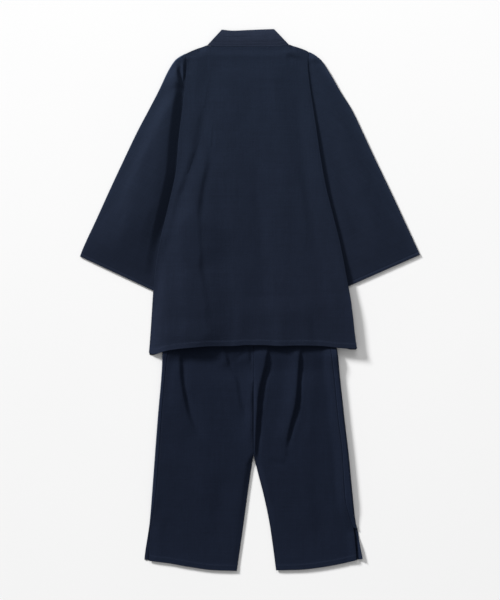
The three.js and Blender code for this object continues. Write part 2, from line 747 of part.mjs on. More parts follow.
// The top face of the legs above the lower face's underside
function legHeight(side, x, y) {
  const fromInner = Math.abs(x - legInner(side, y));
  const fromSeam = Math.abs(x - outseam[side](y));
  const seamHeight = lerp(LEG_EDGE_HEIGHT, INSEAM_HEIGHT, ramp(y, ROLL_FULL_Y, SLIT_TOP_Y));
  const middle = clamp(LEG_MEAN + foldsAt(TROUSER_FOLDS, x, y), LEG_LOWEST, LEG_HIGHEST);
  const besideSeam = lerp(seamHeight, middle, ramp(fromSeam, 0, LEG_SIDE_SLOPE));
  const belowCrotch = ramp(y, ...CROTCH_SLOPE_Y);
  const innerHeight = lerp(CENTRE_SEAM_HEIGHT, INSEAM_HEIGHT, belowCrotch);
  const innerSlope = lerp(CENTRE_SEAM_SLOPE, INSEAM_SLOPE, belowCrotch);
  return lerp(innerHeight, besideSeam, ramp(fromInner, 0, innerSlope));
}

function trousersBack(side) {
  const isLeft = side === "left";
  const inner = (y) => legInner(side, y);
  const hem = legHem[side];
  const seamTop = { x: outseam[side](TROUSERS_TOP_Y), y: TROUSERS_TOP_Y };
  const innerTop = { x: inner(TROUSERS_TOP_Y), y: TROUSERS_TOP_Y };
  const hemTable = isLeft ? LEG_HEM_LEFT : LEG_HEM_RIGHT;
  const seam = (y) => outseam[side](y) + (isLeft ? 1 : -1) * (SEAM_GAP / 2);
  return panel({
    left: isLeft ? seam : inner,
    right: isLeft ? inner : seam,
    top: () => TROUSERS_TOP_Y,
    bottom: hem,
    corners: {
      topLeft: isLeft ? seamTop : innerTop,
      bottomLeft: hemTable[0],
      topRight: isLeft ? innerTop : seamTop,
      bottomRight: hemTable.at(-1),
    },
    across: shares(13, 0.3),
    down: shares(23, 0.1),
    underside: (x, y) => trouserRest(y) + legHeight(side, x, y) - CLOTH,
  });
}

// The roll of a leg's front round its outer edge, walked from the flat part on: how far out and up each
// step is, and how far the cloth has turned there. `rolled` is 1 for a full half turn.
function legRoll(length, rolled) {
  const radius = LEG_EDGE_HEIGHT / 2;
  const bend = Math.min(length, Math.PI * radius);
  const stops = [0, 1, 2, 3, 4, 5].map((step) => (bend * step) / 5);
  if (length > bend) stops.push(lerp(bend, length, 0.33), lerp(bend, length, 0.67), length);
  else stops.push(length, length, length);
  const turnAt = (walked) => Math.min(walked / radius, Math.PI) * rolled;
  const path = [{ a: 0, z: 0, turn: 0 }];
  const parts = 8;
  for (let i = 1; i < stops.length; i++) {
    const part = (stops[i] - stops[i - 1]) / parts;
    let { a, z } = path.at(-1);
    for (let k = 0; k < parts; k++) {
      const turn = turnAt(stops[i - 1] + (k + 0.5) * part);
      a += Math.cos(turn) * part;
      z += Math.sin(turn) * part;
    }
    path.push({ a, z, turn: turnAt(stops[i]) });
  }
  return path;
}

// How much cloth a leg's front has in its roll at a height: up to the outseam, less beside the slit
function rollLength(side, y) {
  const radius = LEG_EDGE_HEIGHT / 2;
  const onTop = Math.abs(legOuter[side](y) - outseam[side](y)) - SEAM_GAP - radius;
  const whole = Math.PI * radius + onTop;
  const half = (Math.PI / 2) * radius;
  if (y > ROLL_HALF_Y) return lerp(whole, half, ramp(y, ROLL_FULL_Y, ROLL_HALF_Y));
  return lerp(half, SLIT_FLAP, ramp(y, ROLL_HALF_Y, SLIT_TOP_Y));
}

// The front of a leg: flat underneath, then rolled up round the outer edge to the outseam on top
function trousersFront(side) {
  const isLeft = side === "left";
  const outward = isLeft ? -1 : 1;
  const hemTable = isLeft ? LEG_HEM_LEFT : LEG_HEM_RIGHT;
  const innerEndY = (isLeft ? hemTable.at(-1) : hemTable[0]).y + LEG_FRONT_SHORTER;
  const outerEndY = (isLeft ? hemTable[0] : hemTable.at(-1)).y + LEG_FRONT_SHORTER;
  const outerGrid = [];
  const innerGrid = [];
  for (const v of shares(23, 0.1)) {
    const innerY = lerp(TROUSERS_TOP_Y, innerEndY, v);
    const outerY = lerp(TROUSERS_TOP_Y, outerEndY, v);
    const innerX = legInner(side, innerY);
    const outerX = legOuter[side](outerY);
    const rest = trouserRest(lerp(innerY, outerY, 0.5));
    const path = legRoll(rollLength(side, outerY), ramp(outerY, SLIT_TOP_Y, ROLL_HALF_Y));
    const flatEnd = outerX - outward * Math.max(...path.map((step) => step.a));
    const along = (x) => lerp(innerY, outerY, (x - innerX) / (outerX - innerX));
    const flat = [0, 0.35, 0.7].map((share) => ({ x: lerp(innerX, flatEnd, share), z: 0, turn: 0 }));
    const rolled = path.map(({ a, z, turn }) => ({ x: flatEnd + outward * a, z, turn }));
    const section = [...flat, ...rolled];
    outerGrid.push(section.map(({ x, z }) => [x, along(x), rest + z]));
    innerGrid.push(
      section.map(({ x, z, turn }) => {
        const inside = x - outward * CLOTH * Math.sin(turn);
        return [inside, along(inside), rest + z + CLOTH * Math.cos(turn)];
      }),
    );
  }
  return wall(outerGrid, innerGrid);
}

// The gathered casing round the waist, a flattened ring
function waistband() {
  const radius = WAISTBAND_HEIGHT / 2;
  const inside = radius - WAISTBAND_CLOTH;
  const gathers = 18;
  const gatherRise = 0.275;
  const steps = gathers * 4;
  const bend = (centre, degrees) => {
    const angle = THREE.MathUtils.degToRad(degrees);
    const at = (reach) => [centre + reach * Math.cos(angle), radius + reach * Math.sin(angle)];
    return { outer: at(radius), inner: at(inside) };
  };
  const outerGrid = [];
  const innerGrid = [];
  for (const v of [0, 0.35, 0.7, 1]) {
    const y = lerp(TROUSERS_TOP_Y + SEAM_GAP, WAISTBAND_TOP_Y, v);
    const half = lerp(WAISTBAND_HALF_WIDTH + 4, WAISTBAND_HALF_WIDTH, v) - radius;
    const puff = gatherRise * Math.sin(Math.PI * lerp(0.1, 0.9, v));
    const below = [-half, 0, half].map((x) => ({ outer: [x, 0], inner: [x, WAISTBAND_CLOTH] }));
    const above = Array.from({ length: steps + 1 }, (_, i) => {
      const x = lerp(half, -half, i / steps);
      const wave = puff * (1 - Math.cos((2 * Math.PI * gathers * i) / steps));
      return { outer: [x, WAISTBAND_HEIGHT + wave], inner: [x, WAISTBAND_HEIGHT - WAISTBAND_CLOTH] };
    });
    const rightBend = [-40, 0, 40].map((degrees) => bend(half, degrees));
    const leftBend = [140, 180, 220].map((degrees) => bend(-half, degrees));
    const ring = [...below, ...rightBend, ...above, ...leftBend];
    const point = ([x, z]) => [x, y, TROUSER_REST + z];
    outerGrid.push(ring.map(({ outer }) => point(outer)));
    innerGrid.push(ring.map(({ inner }) => point(inner)));
  }
  return wall(outerGrid, innerGrid, true);
}

// The set

const samue = new THREE.Group();

function add(name, geometry, colour) {
  const material = new THREE.MeshStandardMaterial({ color: colour, roughness: 0.92, metalness: 0 });
  const mesh = new THREE.Mesh(geometry, material);
  mesh.name = name;
  samue.add(mesh);
}

add("jacket_back", jacketBack(), CLOTH_COLOURS.jacket);
add("jacket_front_left", frontLeft(), CLOTH_COLOURS.jacket);
add("jacket_front_right", frontRight(), CLOTH_COLOURS.jacket);
add("sleeve_left", sleeveLeft(), CLOTH_COLOURS.sleeve);
add("sleeve_right", sleeveRight(), CLOTH_COLOURS.sleeve);
add("collar_back", collarBack(), CLOTH_COLOURS.collar);
add("collar_left", collarLeft(), CLOTH_COLOURS.collar);
add("collar_right", collarRight(), CLOTH_COLOURS.collar);
add("tie_outer_left", tieAtCollar(frontEdgeLeft, 1, TIE_REST_OUTER), CLOTH_COLOURS.tie);
add("tie_outer_right", tie(TIE_OUTER_RIGHT, TIE_REST_OUTER), CLOTH_COLOURS.tie);
add("tie_inner_right", tieAtCollar(frontEdgeRight, -1, TIE_REST_INNER), CLOTH_COLOURS.tie);
add("tie_inner_left", tie(TIE_INNER_LEFT, TIE_REST_INNER), CLOTH_COLOURS.tie);
for (const side of ["left", "right"]) {
  add("trousers_back_" + side, trousersBack(side), CLOTH_COLOURS.trousers);
  add("trousers_front_" + side, trousersFront(side), CLOTH_COLOURS.trousers);
}
add("waistband", waistband(), CLOTH_COLOURS.trousers);

export default samue;
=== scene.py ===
# A samue, a cross-over cotton jacket and cropped trousers, laid flat with its back side up.
# The pieces are described in millimetres, and MM turns them into metres. +Z is up from the floor, the
# neck points to +Y, and the wearer's left is at -X, because the set lies on its front.
import math

import bpy
import numpy as np
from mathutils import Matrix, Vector
from mathutils.bvhtree import BVHTree


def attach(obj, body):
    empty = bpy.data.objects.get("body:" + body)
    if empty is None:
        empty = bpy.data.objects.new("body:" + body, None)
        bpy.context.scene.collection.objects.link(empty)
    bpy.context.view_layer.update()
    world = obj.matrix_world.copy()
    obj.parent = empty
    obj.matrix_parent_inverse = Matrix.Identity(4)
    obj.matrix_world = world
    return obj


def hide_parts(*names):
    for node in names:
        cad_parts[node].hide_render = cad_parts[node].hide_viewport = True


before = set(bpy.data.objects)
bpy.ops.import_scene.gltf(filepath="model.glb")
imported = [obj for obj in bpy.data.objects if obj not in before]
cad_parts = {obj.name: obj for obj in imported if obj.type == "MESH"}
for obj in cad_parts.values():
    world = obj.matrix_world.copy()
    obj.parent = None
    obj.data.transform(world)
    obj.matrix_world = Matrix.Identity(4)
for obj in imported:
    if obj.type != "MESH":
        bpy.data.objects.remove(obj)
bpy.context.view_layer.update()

MM = 0.001
SIDES = ("left", "right")
OUTWARD = {"left": -1, "right": 1}

# Cloth
CLOTH = 1.2
HEM = 1.8  # a turned hem, pressed
SEAM_GAP = 0.3
NECK_SEAM_GAP = 0.15
COLLAR_BAND = 2.4
COLLAR_WIDTH = 44
TIE_CLOTH = 1.1
TIE_WIDTH = 13
TIE_TOP_Y = 64
TIE_END_Y = -106
TIE_LENGTH = 163
HEM_STITCHES = 13  # from the hem's edge
CUFF_STITCHES = 7
COLLAR_STITCH_ROWS = (4, 11, 25)  # above the neck seam, the first one only a groove
STITCH_LENGTH = 2.5
STITCH_PITCH = 3.3
THREAD_WIDTH = 0.5
YARN_PITCH = 0.00075  # in metres, from one crest of the weave to the next

# Distances between the points of the grids, and from an edge where they lie closer together
EDGE_STEPS = (0, 0.12, 0.35, 0.8, 1.4, 2.2, 3.4)
HEM_STEPS = (5, 7, 9, 11, 12, 12.8, 13.6, 14.4, 15.4, 17, 19)
CUFF_STEPS = (5, 6, 6.6, 7.2, 8, 9.5, 11)
CLOTH_STEP = 3.2
HIDDEN_STEP = 7
SLEEVE_ACROSS = 88  # points across a sleeve

# Heights of the layers' undersides where they lie on each other, and of their edges and swellings
TIE_REST_OUTER = 0.15
TIE_REST_INNER = 1.5
OVER_ONE_COLLAR = COLLAR_BAND + SEAM_GAP
OVER_TIE = 1.55
TROUSER_REST = 4.2
BACK_OVER_FRONT = 3.4
BACK_OVER_COLLARS = 5.6
BACK_OVER_WAIST = 10.2
BACK_CORNER_LEFT = 1.7
BACK_CORNER_RIGHT = 10
BACK_SHOULDER = 1.6
BACK_LOFT = 2.4
BACK_LOFT_LIMIT = 11.2
COLLAR_REST = 2.8
SLEEVE_INNER_HEIGHT = 2.95
SLEEVE_OUTER_RISE = {"left": 3.65, "right": 2.05}  # above the inner height
SLEEVE_LIMIT = 13.5
SLEEVE_TUCK = 11  # how far a sleeve reaches under the back's side
FRONT_TUCK = 12.6  # how far a front's side lies inside the back's
LEG_EDGE_HEIGHT = {"left": 6.6, "right": 11}
LEG_SLIT_HEIGHT = {"left": 2.75, "right": 4.4}
FLAP_RISE = {"left": 0.8, "right": 5}  # how far a front's free corner stands up at the slit
BACK_RISE_AT_SLIT = {"left": 0.4, "right": 2}
LEG_LOWEST = 2.7
LEG_HIGHEST = 13
LEG_MEAN = 7
INSEAM_HEIGHT = 2.75

# Outlines, rows of (x, y): sides and seams from the neck down, tops and hems from left to right
NECK_SEAM_Y = 633
NECK_X = -5
JACKET_TOP = [
    (-160, 615.5), (-146, 622), (-132.5, 627.5), (-118, 632.5), (-107, 636), (-92, 633.8),
    (-78, NECK_SEAM_Y), (68, NECK_SEAM_Y), (84, 634.2), (97, 638), (110, 634), (122.5, 630), (135, 625.5),
    (147, 619.5),
]
JACKET_SIDE = {"left": [
    (-160, 615.5), (-158, 589.5), (-161, 552.5), (-169.5, 473), (-178, 405), (-184.5, 326), (-201, 246.5),
    (-221.5, 161.5), (-233.5, 99), (-241.5, 25.5), (-245, -25.5), (-249.5, -94), (-252.5, -131.5),
], "right": [
    (147, 619.5), (144.5, 592), (148, 547), (156.5, 490), (165, 433.5), (176, 360), (190.5, 280.5),
    (207.5, 212.5), (224.5, 144.5), (244, 42.5), (253, -8.5), (263, -95), (267, -121),
]}
JACKET_HEM = [
    (-252.5, -131.5), (-246, -135), (-237, -135.5), (-216, -129), (-200, -125.5), (-175, -122),
    (-137.5, -118.5), (-100, -115.8), (-40, -115), (-8, -112.8), (32, -112.8), (75, -115), (125, -113.8),
    (175, -115), (220, -119.5), (257.5, -122), (267, -121),
]
COLLAR_TOP = [(-70.5, 675.5), (-42.5, 673), (-5, 674.5), (30, 676), (60, 677)]
SLEEVE_OUTER = {"left": [
    (-161, 616), (-177, 607), (-187, 599), (-203.5, 574), (-227.5, 524), (-253.5, 474), (-280, 424),
    (-316, 349), (-351, 274), (-385, 199), (-419.5, 124), (-425, 109),
], "right": [
    (148, 620), (159.5, 614), (170, 606.5), (178.5, 599), (195.5, 574), (224.5, 524), (255.5, 474),
    (279.5, 424), (314.5, 349), (350.5, 274), (385.5, 199), (420, 124), (425, 113),
]}
SLEEVE_TOP_Y = 590
CUFF_Y = {"left": 18.5, "right": 29.5}
COLLAR_BASE_X = (-107, 97)
COLLAR_BACK_HEIGHT = 41
COLLAR_START_X = {"left": -105, "right": 95}
COLLAR_SLOPE = 0.344
COLLAR_END_Y = -20
FRONT_SHOULDER_X = {"left": -146, "right": 132}
FRONT_CORNER_X = {"left": -249, "right": 263.5}
FRONT_TOP_SHORTER = 1
FRONT_HEM_SHORTER = 4
FRONT_HEM_SHOWS = 2  # how far a front's corner comes out from under the back

LEG_TOP_Y = -92.5
WAISTBAND_TOP_Y = -57
WAISTBAND_HALF_WIDTH = 200
WAIST_SEAM_HALF_WIDTH = 204
CENTRE_SEAM_X = 8.75
FRONT_SEAM_ASIDE = 3  # the front seam doesn't lie right under the back one
LEG_OUTER = {"left": [
    (-208, LEG_TOP_Y), (-218.5, -128), (-220, -167), (-223, -210), (-228.5, -271), (-235, -352.5),
    (-242, -447), (-251, -557.5), (-255, -585), (-263.5, -643), (-264, -650),
], "right": [
    (208, LEG_TOP_Y), (217.5, -122.5), (224.5, -189.5), (236.5, -300), (247, -390), (258, -504),
    (264.5, -557.5), (269.5, -575), (273.5, -605), (281, -643), (282, -649),
]}
OUTSEAM = {"left": [
    (-199, LEG_TOP_Y), (-210, -167), (-219.5, -271), (-232, -447), (-240, -520), (-250, -580),
    (-252, -652),
], "right": [
    (194, LEG_TOP_Y), (202, -127.5), (210, -190), (220, -292.5), (230, -372.5), (238, -495),
    (246, -530), (260, -577.5), (267, -650),
]}
INSEAM = {"left": [
    (CENTRE_SEAM_X, -388), (-3, -463), (-13, -537), (-21.5, -598), (-33, -677),
], "right": [
    (CENTRE_SEAM_X, -388), (20.5, -435), (36, -496), (48.5, -557), (57, -614.5), (65, -675.5),
]}
LEG_HEM = {"left": [
    (-252, -652), (-206, -657.5), (-152.5, -667), (-91.5, -675), (-33, -677),
], "right": [
    (65, -675.5), (118, -674.5), (179, -668), (228, -659), (267, -650),
]}
EDGE_FALLS_Y = (-490, -577)
ROLL_FULL_Y = -567
ROLL_HALF_Y = -573
SLIT_TOP_Y = -578
LEG_FRONT_SHORTER = 3

# Folds: a line, the depth along its middle (positive for a ridge), its half width, and how high the
# cloth stands on the side towards the light, from which it drops steeply into the fold. That side is on
# the right-hand side going along the line.
BACK_FOLDS = [
    ([(-98, 380), (-103, 335), (-108, 312), (-118, 262), (-123, 210), (-124, 160), (-120, 100), (-114, 50),
      (-105, 0), (-99, -40)], -1.3, 8.5, 1.8),
    ([(-115, 475), (-127, 412), (-137, 365), (-158, 312), (-170, 262)], -0.9, 9, 1.2),
    ([(-158, 310), (-170, 275), (-182, 237), (-189, 200), (-203, 150), (-222, 80)], -1.2, 11, 2.2),
    ([(-146, 270), (-141, 120), (-136, 20), (-134, -60), (-134, -230)], 9, 60, 0),
    ([(-150, 606), (-157, 588), (-160, 560)], -2.4, 6, 1.4),
    ([(148, 588), (134, 598), (112, 604), (88, 612)], -2.6, 7, 1.2),
    ([(15, 300), (25, 200), (35, 100), (37, -60)], -1.2, 20, 0),
    ([(-30, 110), (-22, 0), (-26, -200)], 1.5, 24, 0),
    ([(60, 580), (80, 330), (96, 90)], 0.9, 22, 0),
    ([(118, 540), (132, 380), (146, 230), (165, 20)], -0.9, 14, 0.5),
    ([(-40, 560), (-46, 400), (-44, 250), (-30, 0)], 0.8, 24, 0),
    ([(15, 440), (24, 160), (30, -80)], -0.7, 19, 0),
    ([(176, 250), (206, 40), (222, -90)], 1.0, 18, 0),
    ([(80, -20), (78, -90), (76, -190)], 1.6, 20, 0),
    ([(60, 10), (62, -70), (64, -200)], 2.6, 110, 0),
    ([(160, -20), (162, -100), (160, -180)], -1.0, 14, 0.4),
]
SLEEVE_FOLDS = {"left": [
    ([(-181, 583), (-176, 562), (-167, 533)], -2.5, 4, 3.4),
    ([(-166, 612), (-167, 584), (-166, 560), (-165, 534)], 5, 4.4, 0),
    ([(-330, 130), (-290, 270), (-250, 420)], 1.4, 22, 0),
    ([(-300, 330), (-336, 230), (-372, 130)], -0.8, 15, 0.4),
], "right": [
    ([(218, 440), (280, 270), (334, 120)], 1.2, 24, 0),
    ([(205, 380), (250, 220), (290, 90)], -0.9, 14, 0.4),
    ([(262, 400), (330, 250), (376, 150)], -0.7, 12, 0.3),
]}
TROUSER_FOLDS = [
    ([(-171, -100), (-168, -190), (-160, -243), (-147, -293), (-130, -333)], -2.4, 4.5, 3.2),
    ([(-86, -116), (-120, -122), (-150, -124), (-190, -118)], -3.5, 14, 0),
    ([(-66, -112), (-55, -140), (-48, -170)], -2.6, 4, 1.6),
    ([(-18, -132), (-30, -140), (-44, -148)], -1.6, 4, 0.8),
    ([(-44, -176), (-30, -200), (-22, -250), (-10, -293)], -1.2, 5, 1.3),
    ([(0, -112), (1, -135), (3, -160)], -1.6, 3, 0.8),
    ([(-46, -108), (-37, -130), (-33, -158)], -2, 9, 0),
    ([(49, -114), (43.5, -162), (33.5, -200), (26, -237), (22.5, -275), (20, -312), (18.5, -350), (17, -410)],
      -4.4, 3.9, 6.8),
    ([(129, -114), (124, -190), (117.5, -262), (104, -315), (92, -372)], -3.2, 3.1, 5.4),
    ([(160, -115), (156, -240), (146, -380)], 1.0, 16, 0),
    ([(-110, -200), (-108, -380), (-130, -560)], 1.0, 24, 0),
    ([(165, -420), (170, -520), (178, -620)], -0.9, 18, 0.4),
    ([(88, -410), (66, -403), (46, -397)], -1.0, 6, 0.4),
    ([(-60, -420), (-80, -520), (-92, -640)], -0.8, 16, 0.3),
]
GENTLE_SIDE = 2  # how much wider a fold with such a rise is on its other side
RIDGE_REACH = 7  # in half widths

# Colours, with the jacket's painted light falloff, and the painted shade on the cloth's inside in the gap at
# the slit
# The jacket's colour is painted paler at the shoulders and darker at the hem, as the light falls off down the
# garment.
JACKET_LIT_TOP_COLOUR = (0.0115, 0.0174, 0.0329)
JACKET_SHADED_HEM_COLOUR = (0.0095, 0.0136, 0.0266)
COLLAR_COLOUR = (0.0188, 0.0255, 0.0456)
TROUSER_COLOUR = (0.0078, 0.0117, 0.0242)
THREAD_DARK = (0.012, 0.016, 0.031)
THREAD_PALE = (0.021, 0.028, 0.049)
# Painted shade in the gap beside the outseam at the slit, drawn on the cloth's inside face.
SLIT_GAP_PAINTED_SHADE = -0.6

# Floor, in millimetres, and camera, in metres apart from its sensor
FLOOR_REACH = 12000
FLOOR_Z = -0.2
FRAME_HEIGHT = 1.5
CAMERA_HEIGHT = 5.0
SENSOR = 36


# Helpers

def ramp(value, start, end):
    """0 before start, 1 past end, smooth between; start may be the larger one."""
    share = np.clip((value - start) / (end - start), 0, 1)
    return share * share * (3 - 2 * share)


def mix(a, b, share):
    return a + (b - a) * share


def zipped(*parts):
    return np.stack(parts, -1)


def curve(rows, key):
    """A smooth curve without overshoot through rows of (x, y): y from x for key 0, x from y for key 1."""
    rows = sorted(rows, key=lambda row: row[key])
    at = np.array([row[key] for row in rows], float)
    value = np.array([row[1 - key] for row in rows], float)
    span = np.diff(at)
    secant = np.diff(value) / span
    product = secant[:-1] * secant[1:]
    total = np.where(product > 0, secant[:-1] + secant[1:], 1)
    slope = np.concatenate([secant[:1], np.where(product > 0, 2 * product / total, 0), secant[-1:]])

    def read(x):
        x = np.clip(np.asarray(x, float), at[0], at[-1])
        i = np.clip(np.searchsorted(at, x) - 1, 0, len(span) - 1)
        t = (x - at[i]) / span[i]
        return (
            (2 * t**3 - 3 * t**2 + 1) * value[i]
            + (t**3 - 2 * t**2 + t) * span[i] * slope[i]
            + (3 * t**2 - 2 * t**3) * value[i + 1]
            + (t**3 - t**2) * span[i] * slope[i + 1]
        )

    return read


def smooth_line(points, steps=8):
    """A dense line through the points, rounded at each of them."""
    p = np.array(points, float)
    p = np.vstack([2 * p[0] - p[1], p, 2 * p[-1] - p[-2]])
    out = []
    for i in range(1, len(p) - 2):
        for t in np.arange(steps) / steps:
            out.append(
                0.5 * (2 * p[i] + (p[i + 1] - p[i - 1]) * t
                       + (2 * p[i - 1] - 5 * p[i] + 4 * p[i + 1] - p[i + 2]) * t**2
                       + (3 * p[i] - p[i - 1] - 3 * p[i + 1] + p[i + 2]) * t**3)
            )
    out.append(p[-2])
    return np.array(out)


def noise2(x, y, seed):
    """Smooth noise from about -1 to 1 over the plane, one cell a unit."""
    size = 97
    angle = np.random.default_rng(seed).uniform(0, 2 * math.pi, (size, size))
    i, j = np.floor(x).astype(int), np.floor(y).astype(int)
    fx, fy = x - i, y - j
    sx, sy = fx**3 * (fx * (6 * fx - 15) + 10), fy**3 * (fy * (6 * fy - 15) + 10)

    def corner(di, dj):
        a = angle[(i + di) % size, (j + dj) % size]
        return np.cos(a) * (fx - di) + np.sin(a) * (fy - dj)

    return 1.5 * mix(mix(corner(0, 0), corner(1, 0), sx), mix(corner(0, 1), corner(1, 1), sx), sy)


def fold_height(fold, x, y, seed):
    """How far one fold moves the cloth up or down; it fades at its ends and varies along its line."""
    points, depth, width, lift = fold
    line = smooth_line(points)
    best = np.full(np.shape(x), 1e9)
    side = np.zeros(np.shape(x))
    place = np.zeros(np.shape(x))
    lengths = np.hypot(*np.diff(line, axis=0).T)
    start = np.concatenate([[0], np.cumsum(lengths)])
    for (ax, ay), (bx, by), length, before in zip(line[:-1], line[1:], lengths, start):
        ux, uy = (bx - ax) / length, (by - ay) / length
        along = np.clip((x - ax) * ux + (y - ay) * uy, 0, length)
        dx, dy = x - ax - ux * along, y - ay - uy * along
        distance = np.hypot(dx, dy)
        nearer = distance < best
        best = np.where(nearer, distance, best)
        side = np.where(nearer, ux * dy - uy * dx, side)
        place = np.where(nearer, before + along, place)
    share = place / start[-1]
    fade = ramp(share, -0.12, 0.22) * ramp(share, 1.1, 0.66)
    uneven = 1 + 0.28 * noise2(place / 55, np.full(np.shape(x), 0.37 * seed), 11 + seed)
    wide = width * (1 + 0.25 * noise2(place / 70, np.full(np.shape(x), 0.61 * seed), 31 + seed))
    towards_light = np.where(side > 0, -best, best)
    reach = np.where(towards_light > 0, wide, wide * (GENTLE_SIDE if lift else 1))
    valley = depth * np.exp(-((best / reach) ** 2))
    past = np.maximum(towards_light - 1.2 * wide, 0)
    rise = lift * ramp(towards_light, -0.6 * wide, 1.2 * wide)
    ridge = rise * np.exp(-((past / (RIDGE_REACH * wide)) ** 2))
    return (valley + ridge) * fade * uneven


def folds_height(folds, x, y):
    return sum(fold_height(fold, x, y, k) for k, fold in enumerate(folds))


def soft_limit(value, low, high, soft=0.5):
    """Keeps a height between two others, rounding the corners."""
    value = low + soft * np.logaddexp(0, (value - low) / soft)
    return high - soft * np.logaddexp(0, (high - value) / soft)


def crumple(x, y, seed):
    """The small unevenness of cotton that was folded and pressed: longer down the cloth than across."""
    broad = noise2(x / 46, y / 120, seed) * 0.55
    middle = noise2(x / 19 + 0.2 * broad, y / 44, seed + 1) * 0.34
    fine = noise2(x / 8.5, y / 15, seed + 2) * 0.13
    return broad + middle + fine


def spread(length, step, end=EDGE_STEPS):
    """Shares from 0 to 1 over a length: close together at the ends, and `step` apart between them."""
    first, last = EDGE_STEPS[-1], length - end[-1]
    middle = np.linspace(first, last, max(2, round((last - first) / step)) + 1)[1:-1]
    return np.concatenate([EDGE_STEPS, middle, length - np.array(end)[::-1]]) / length


# Meshes

def add_object(name, data):
    thing = bpy.data.objects.new(name, data)
    bpy.context.scene.collection.objects.link(thing)
    return thing


def new_mesh(name, vertices, faces):
    """A smooth mesh object from points in millimetres."""
    mesh = bpy.data.meshes.new(name)
    mesh.from_pydata((np.array(vertices) * MM).tolist(), [], faces)
    mesh.shade_smooth()
    return add_object(name, mesh)


def grid_faces(index):
    return zipped(index[:-1, :-1], index[:-1, 1:], index[1:, 1:], index[1:, :-1]).reshape(-1, 4)


def turned_out(vertices, faces):
    """The faces, reversed if they enclose a negative volume."""
    a, b, c, d = (vertices[faces[:, k]] for k in range(4))
    volume = (a * np.cross(b, c)).sum() + (a * np.cross(c, d)).sum()
    return faces if volume > 0 else faces[:, ::-1]


def cloth_piece(name, upper, lower, uv, wear_and_painted_light, rings=False):
    """A closed piece between two grids of points that meet at the rim, or at both ends if their rows are
    rings. The cut's coordinates, in metres, are its UVs."""
    upper, lower, uv, wear_and_painted_light = map(np.array, (upper, lower, uv, wear_and_painted_light))
    rows, columns = wear_and_painted_light.shape
    top = np.arange(rows * columns).reshape(rows, columns)
    inner = np.zeros((rows, columns), bool)
    inner[1:-1, slice(None) if rings else slice(1, -1)] = True
    below = top.copy()
    below[inner] = rows * columns + np.arange(inner.sum())
    close = list(range(columns)) + ([0] if rings else [])
    faces = np.vstack([grid_faces(top[:, close]), grid_faces(below[:, close])[:, ::-1]])

    def joined(over, under):
        return np.concatenate([over.reshape(rows * columns, *over.shape[2:]), under[inner]])

    vertices = joined(upper, lower)
    piece = new_mesh(name, vertices, turned_out(vertices, faces).tolist())
    mesh = piece.data
    corners = np.empty(len(mesh.loops), np.int32)
    mesh.loops.foreach_get("vertex_index", corners)
    mesh.uv_layers.new(name="cut").data.foreach_set("uv", (joined(uv, uv)[corners] * MM).ravel())
    # Each point's wear and painted light: paler at wear and painted highlights, darker at painted shade.
    mesh.attributes.new("wear_and_painted_light", "FLOAT", "POINT").data.foreach_set("value", joined(wear_and_painted_light, wear_and_painted_light))
    return piece


def rounded(thickness, edge):
    """Half the cloth's thickness at a distance from its edge, which is round."""
    radius = thickness / 2
    inset = 1 - np.clip(edge / radius, 0, 1)
    return radius * np.sqrt(1 - inset**2)


def two_sides(x, y, z, thickness, edge, dimple=0):
    """The upper and the lower side of cloth whose underside lies at z."""
    half = rounded(thickness, edge)
    middle = z + thickness / 2
    return zipped(x, y, np.maximum(middle + half - dimple, z)), zipped(x, y, middle - half)


def from_ends(share, length):
    return np.minimum(share, 1 - share) * length


def panel(name, left, right, top, bottom, corners, underside, step=CLOTH_STEP, hem_depth=0, seam_depth=0,
          top_sharpness=1, painted_light_and_wear=None, seed=0):
    """A panel between four sides: left and right give x from y, top and bottom y from x. The bottom is a
    turned hem if hem_depth isn't 0. seam_depth is how far the edges at the sides are drawn down, and the
    rounding of the top edge is top_sharpness times narrower."""
    (tlx, tly), (trx, try_), (blx, bly), (brx, bry) = corners
    u, v = np.meshgrid(
        spread(max(abs(trx - tlx), abs(brx - blx)), step),
        spread(max(abs(tly - bly), abs(try_ - bry)), step, end=EDGE_STEPS + (HEM_STEPS if hem_depth else ())),
    )
    x = mix(left(mix(tly, bly, v)), right(mix(try_, bry, v)), u)
    y = mix(top(mix(tlx, trx, u)), bottom(mix(blx, brx, u)), v)
    across = np.abs(x[:, -1:] - x[:, :1])
    down = np.abs(y[-1:] - y[:1])
    edges = {"left": u * across, "right": (1 - u) * across, "top": v * down, "bottom": (1 - v) * down}
    edge = np.minimum.reduce([edges["left"], edges["right"], edges["top"] * top_sharpness, edges["bottom"]])
    thickness = CLOTH
    dimple = sum(seam_depth * np.exp(-((edges[side] / 1.6) ** 2)) for side in SIDES)
    # Paler along every edge: wear, with a painted highlight on the rounded edge.
    wear_and_painted_light = 0.1 * np.exp(-edge / 1.6)
    if hem_depth:
        to_hem = edges["bottom"]
        pucker = noise2(x / 9, to_hem / 30, seed + 5)
        thickness = np.maximum(CLOTH, mix(CLOTH, HEM + 0.2 * pucker, ramp(to_hem, 16, 11.5)))
        stitched = np.exp(-(((to_hem - HEM_STITCHES) / 1.4) ** 2))
        dimple = hem_depth * (0.26 + 0.15 * pucker) * stitched + dimple
        # A painted highlight along the turned hem's ridge at its stitches.
        wear_and_painted_light = np.maximum(wear_and_painted_light, hem_depth * 0.16 * np.exp(-(((to_hem - HEM_STITCHES + 1) / 1.8) ** 2)))
    # The piece's own painted highlights, with some wear.
    if painted_light_and_wear:
        wear_and_painted_light = np.maximum(wear_and_painted_light, painted_light_and_wear(x, y, edges))
    sides = two_sides(x, y, underside(x, y), thickness, edge, dimple)
    return cloth_piece(name, *sides, zipped(x, y), wear_and_painted_light)


# Outlines as functions: x from y for sides and seams, y from x for tops and hems

jacket_side, leg_outer, outseam, inseam = (
    {side: curve(table[side], 1) for side in SIDES} for table in (JACKET_SIDE, LEG_OUTER, OUTSEAM, INSEAM)
)
leg_hem = {side: curve(LEG_HEM[side], 0) for side in SIDES}
jacket_top = curve(JACKET_TOP, 0)
jacket_hem = curve(JACKET_HEM, 0)

# Jacket, back


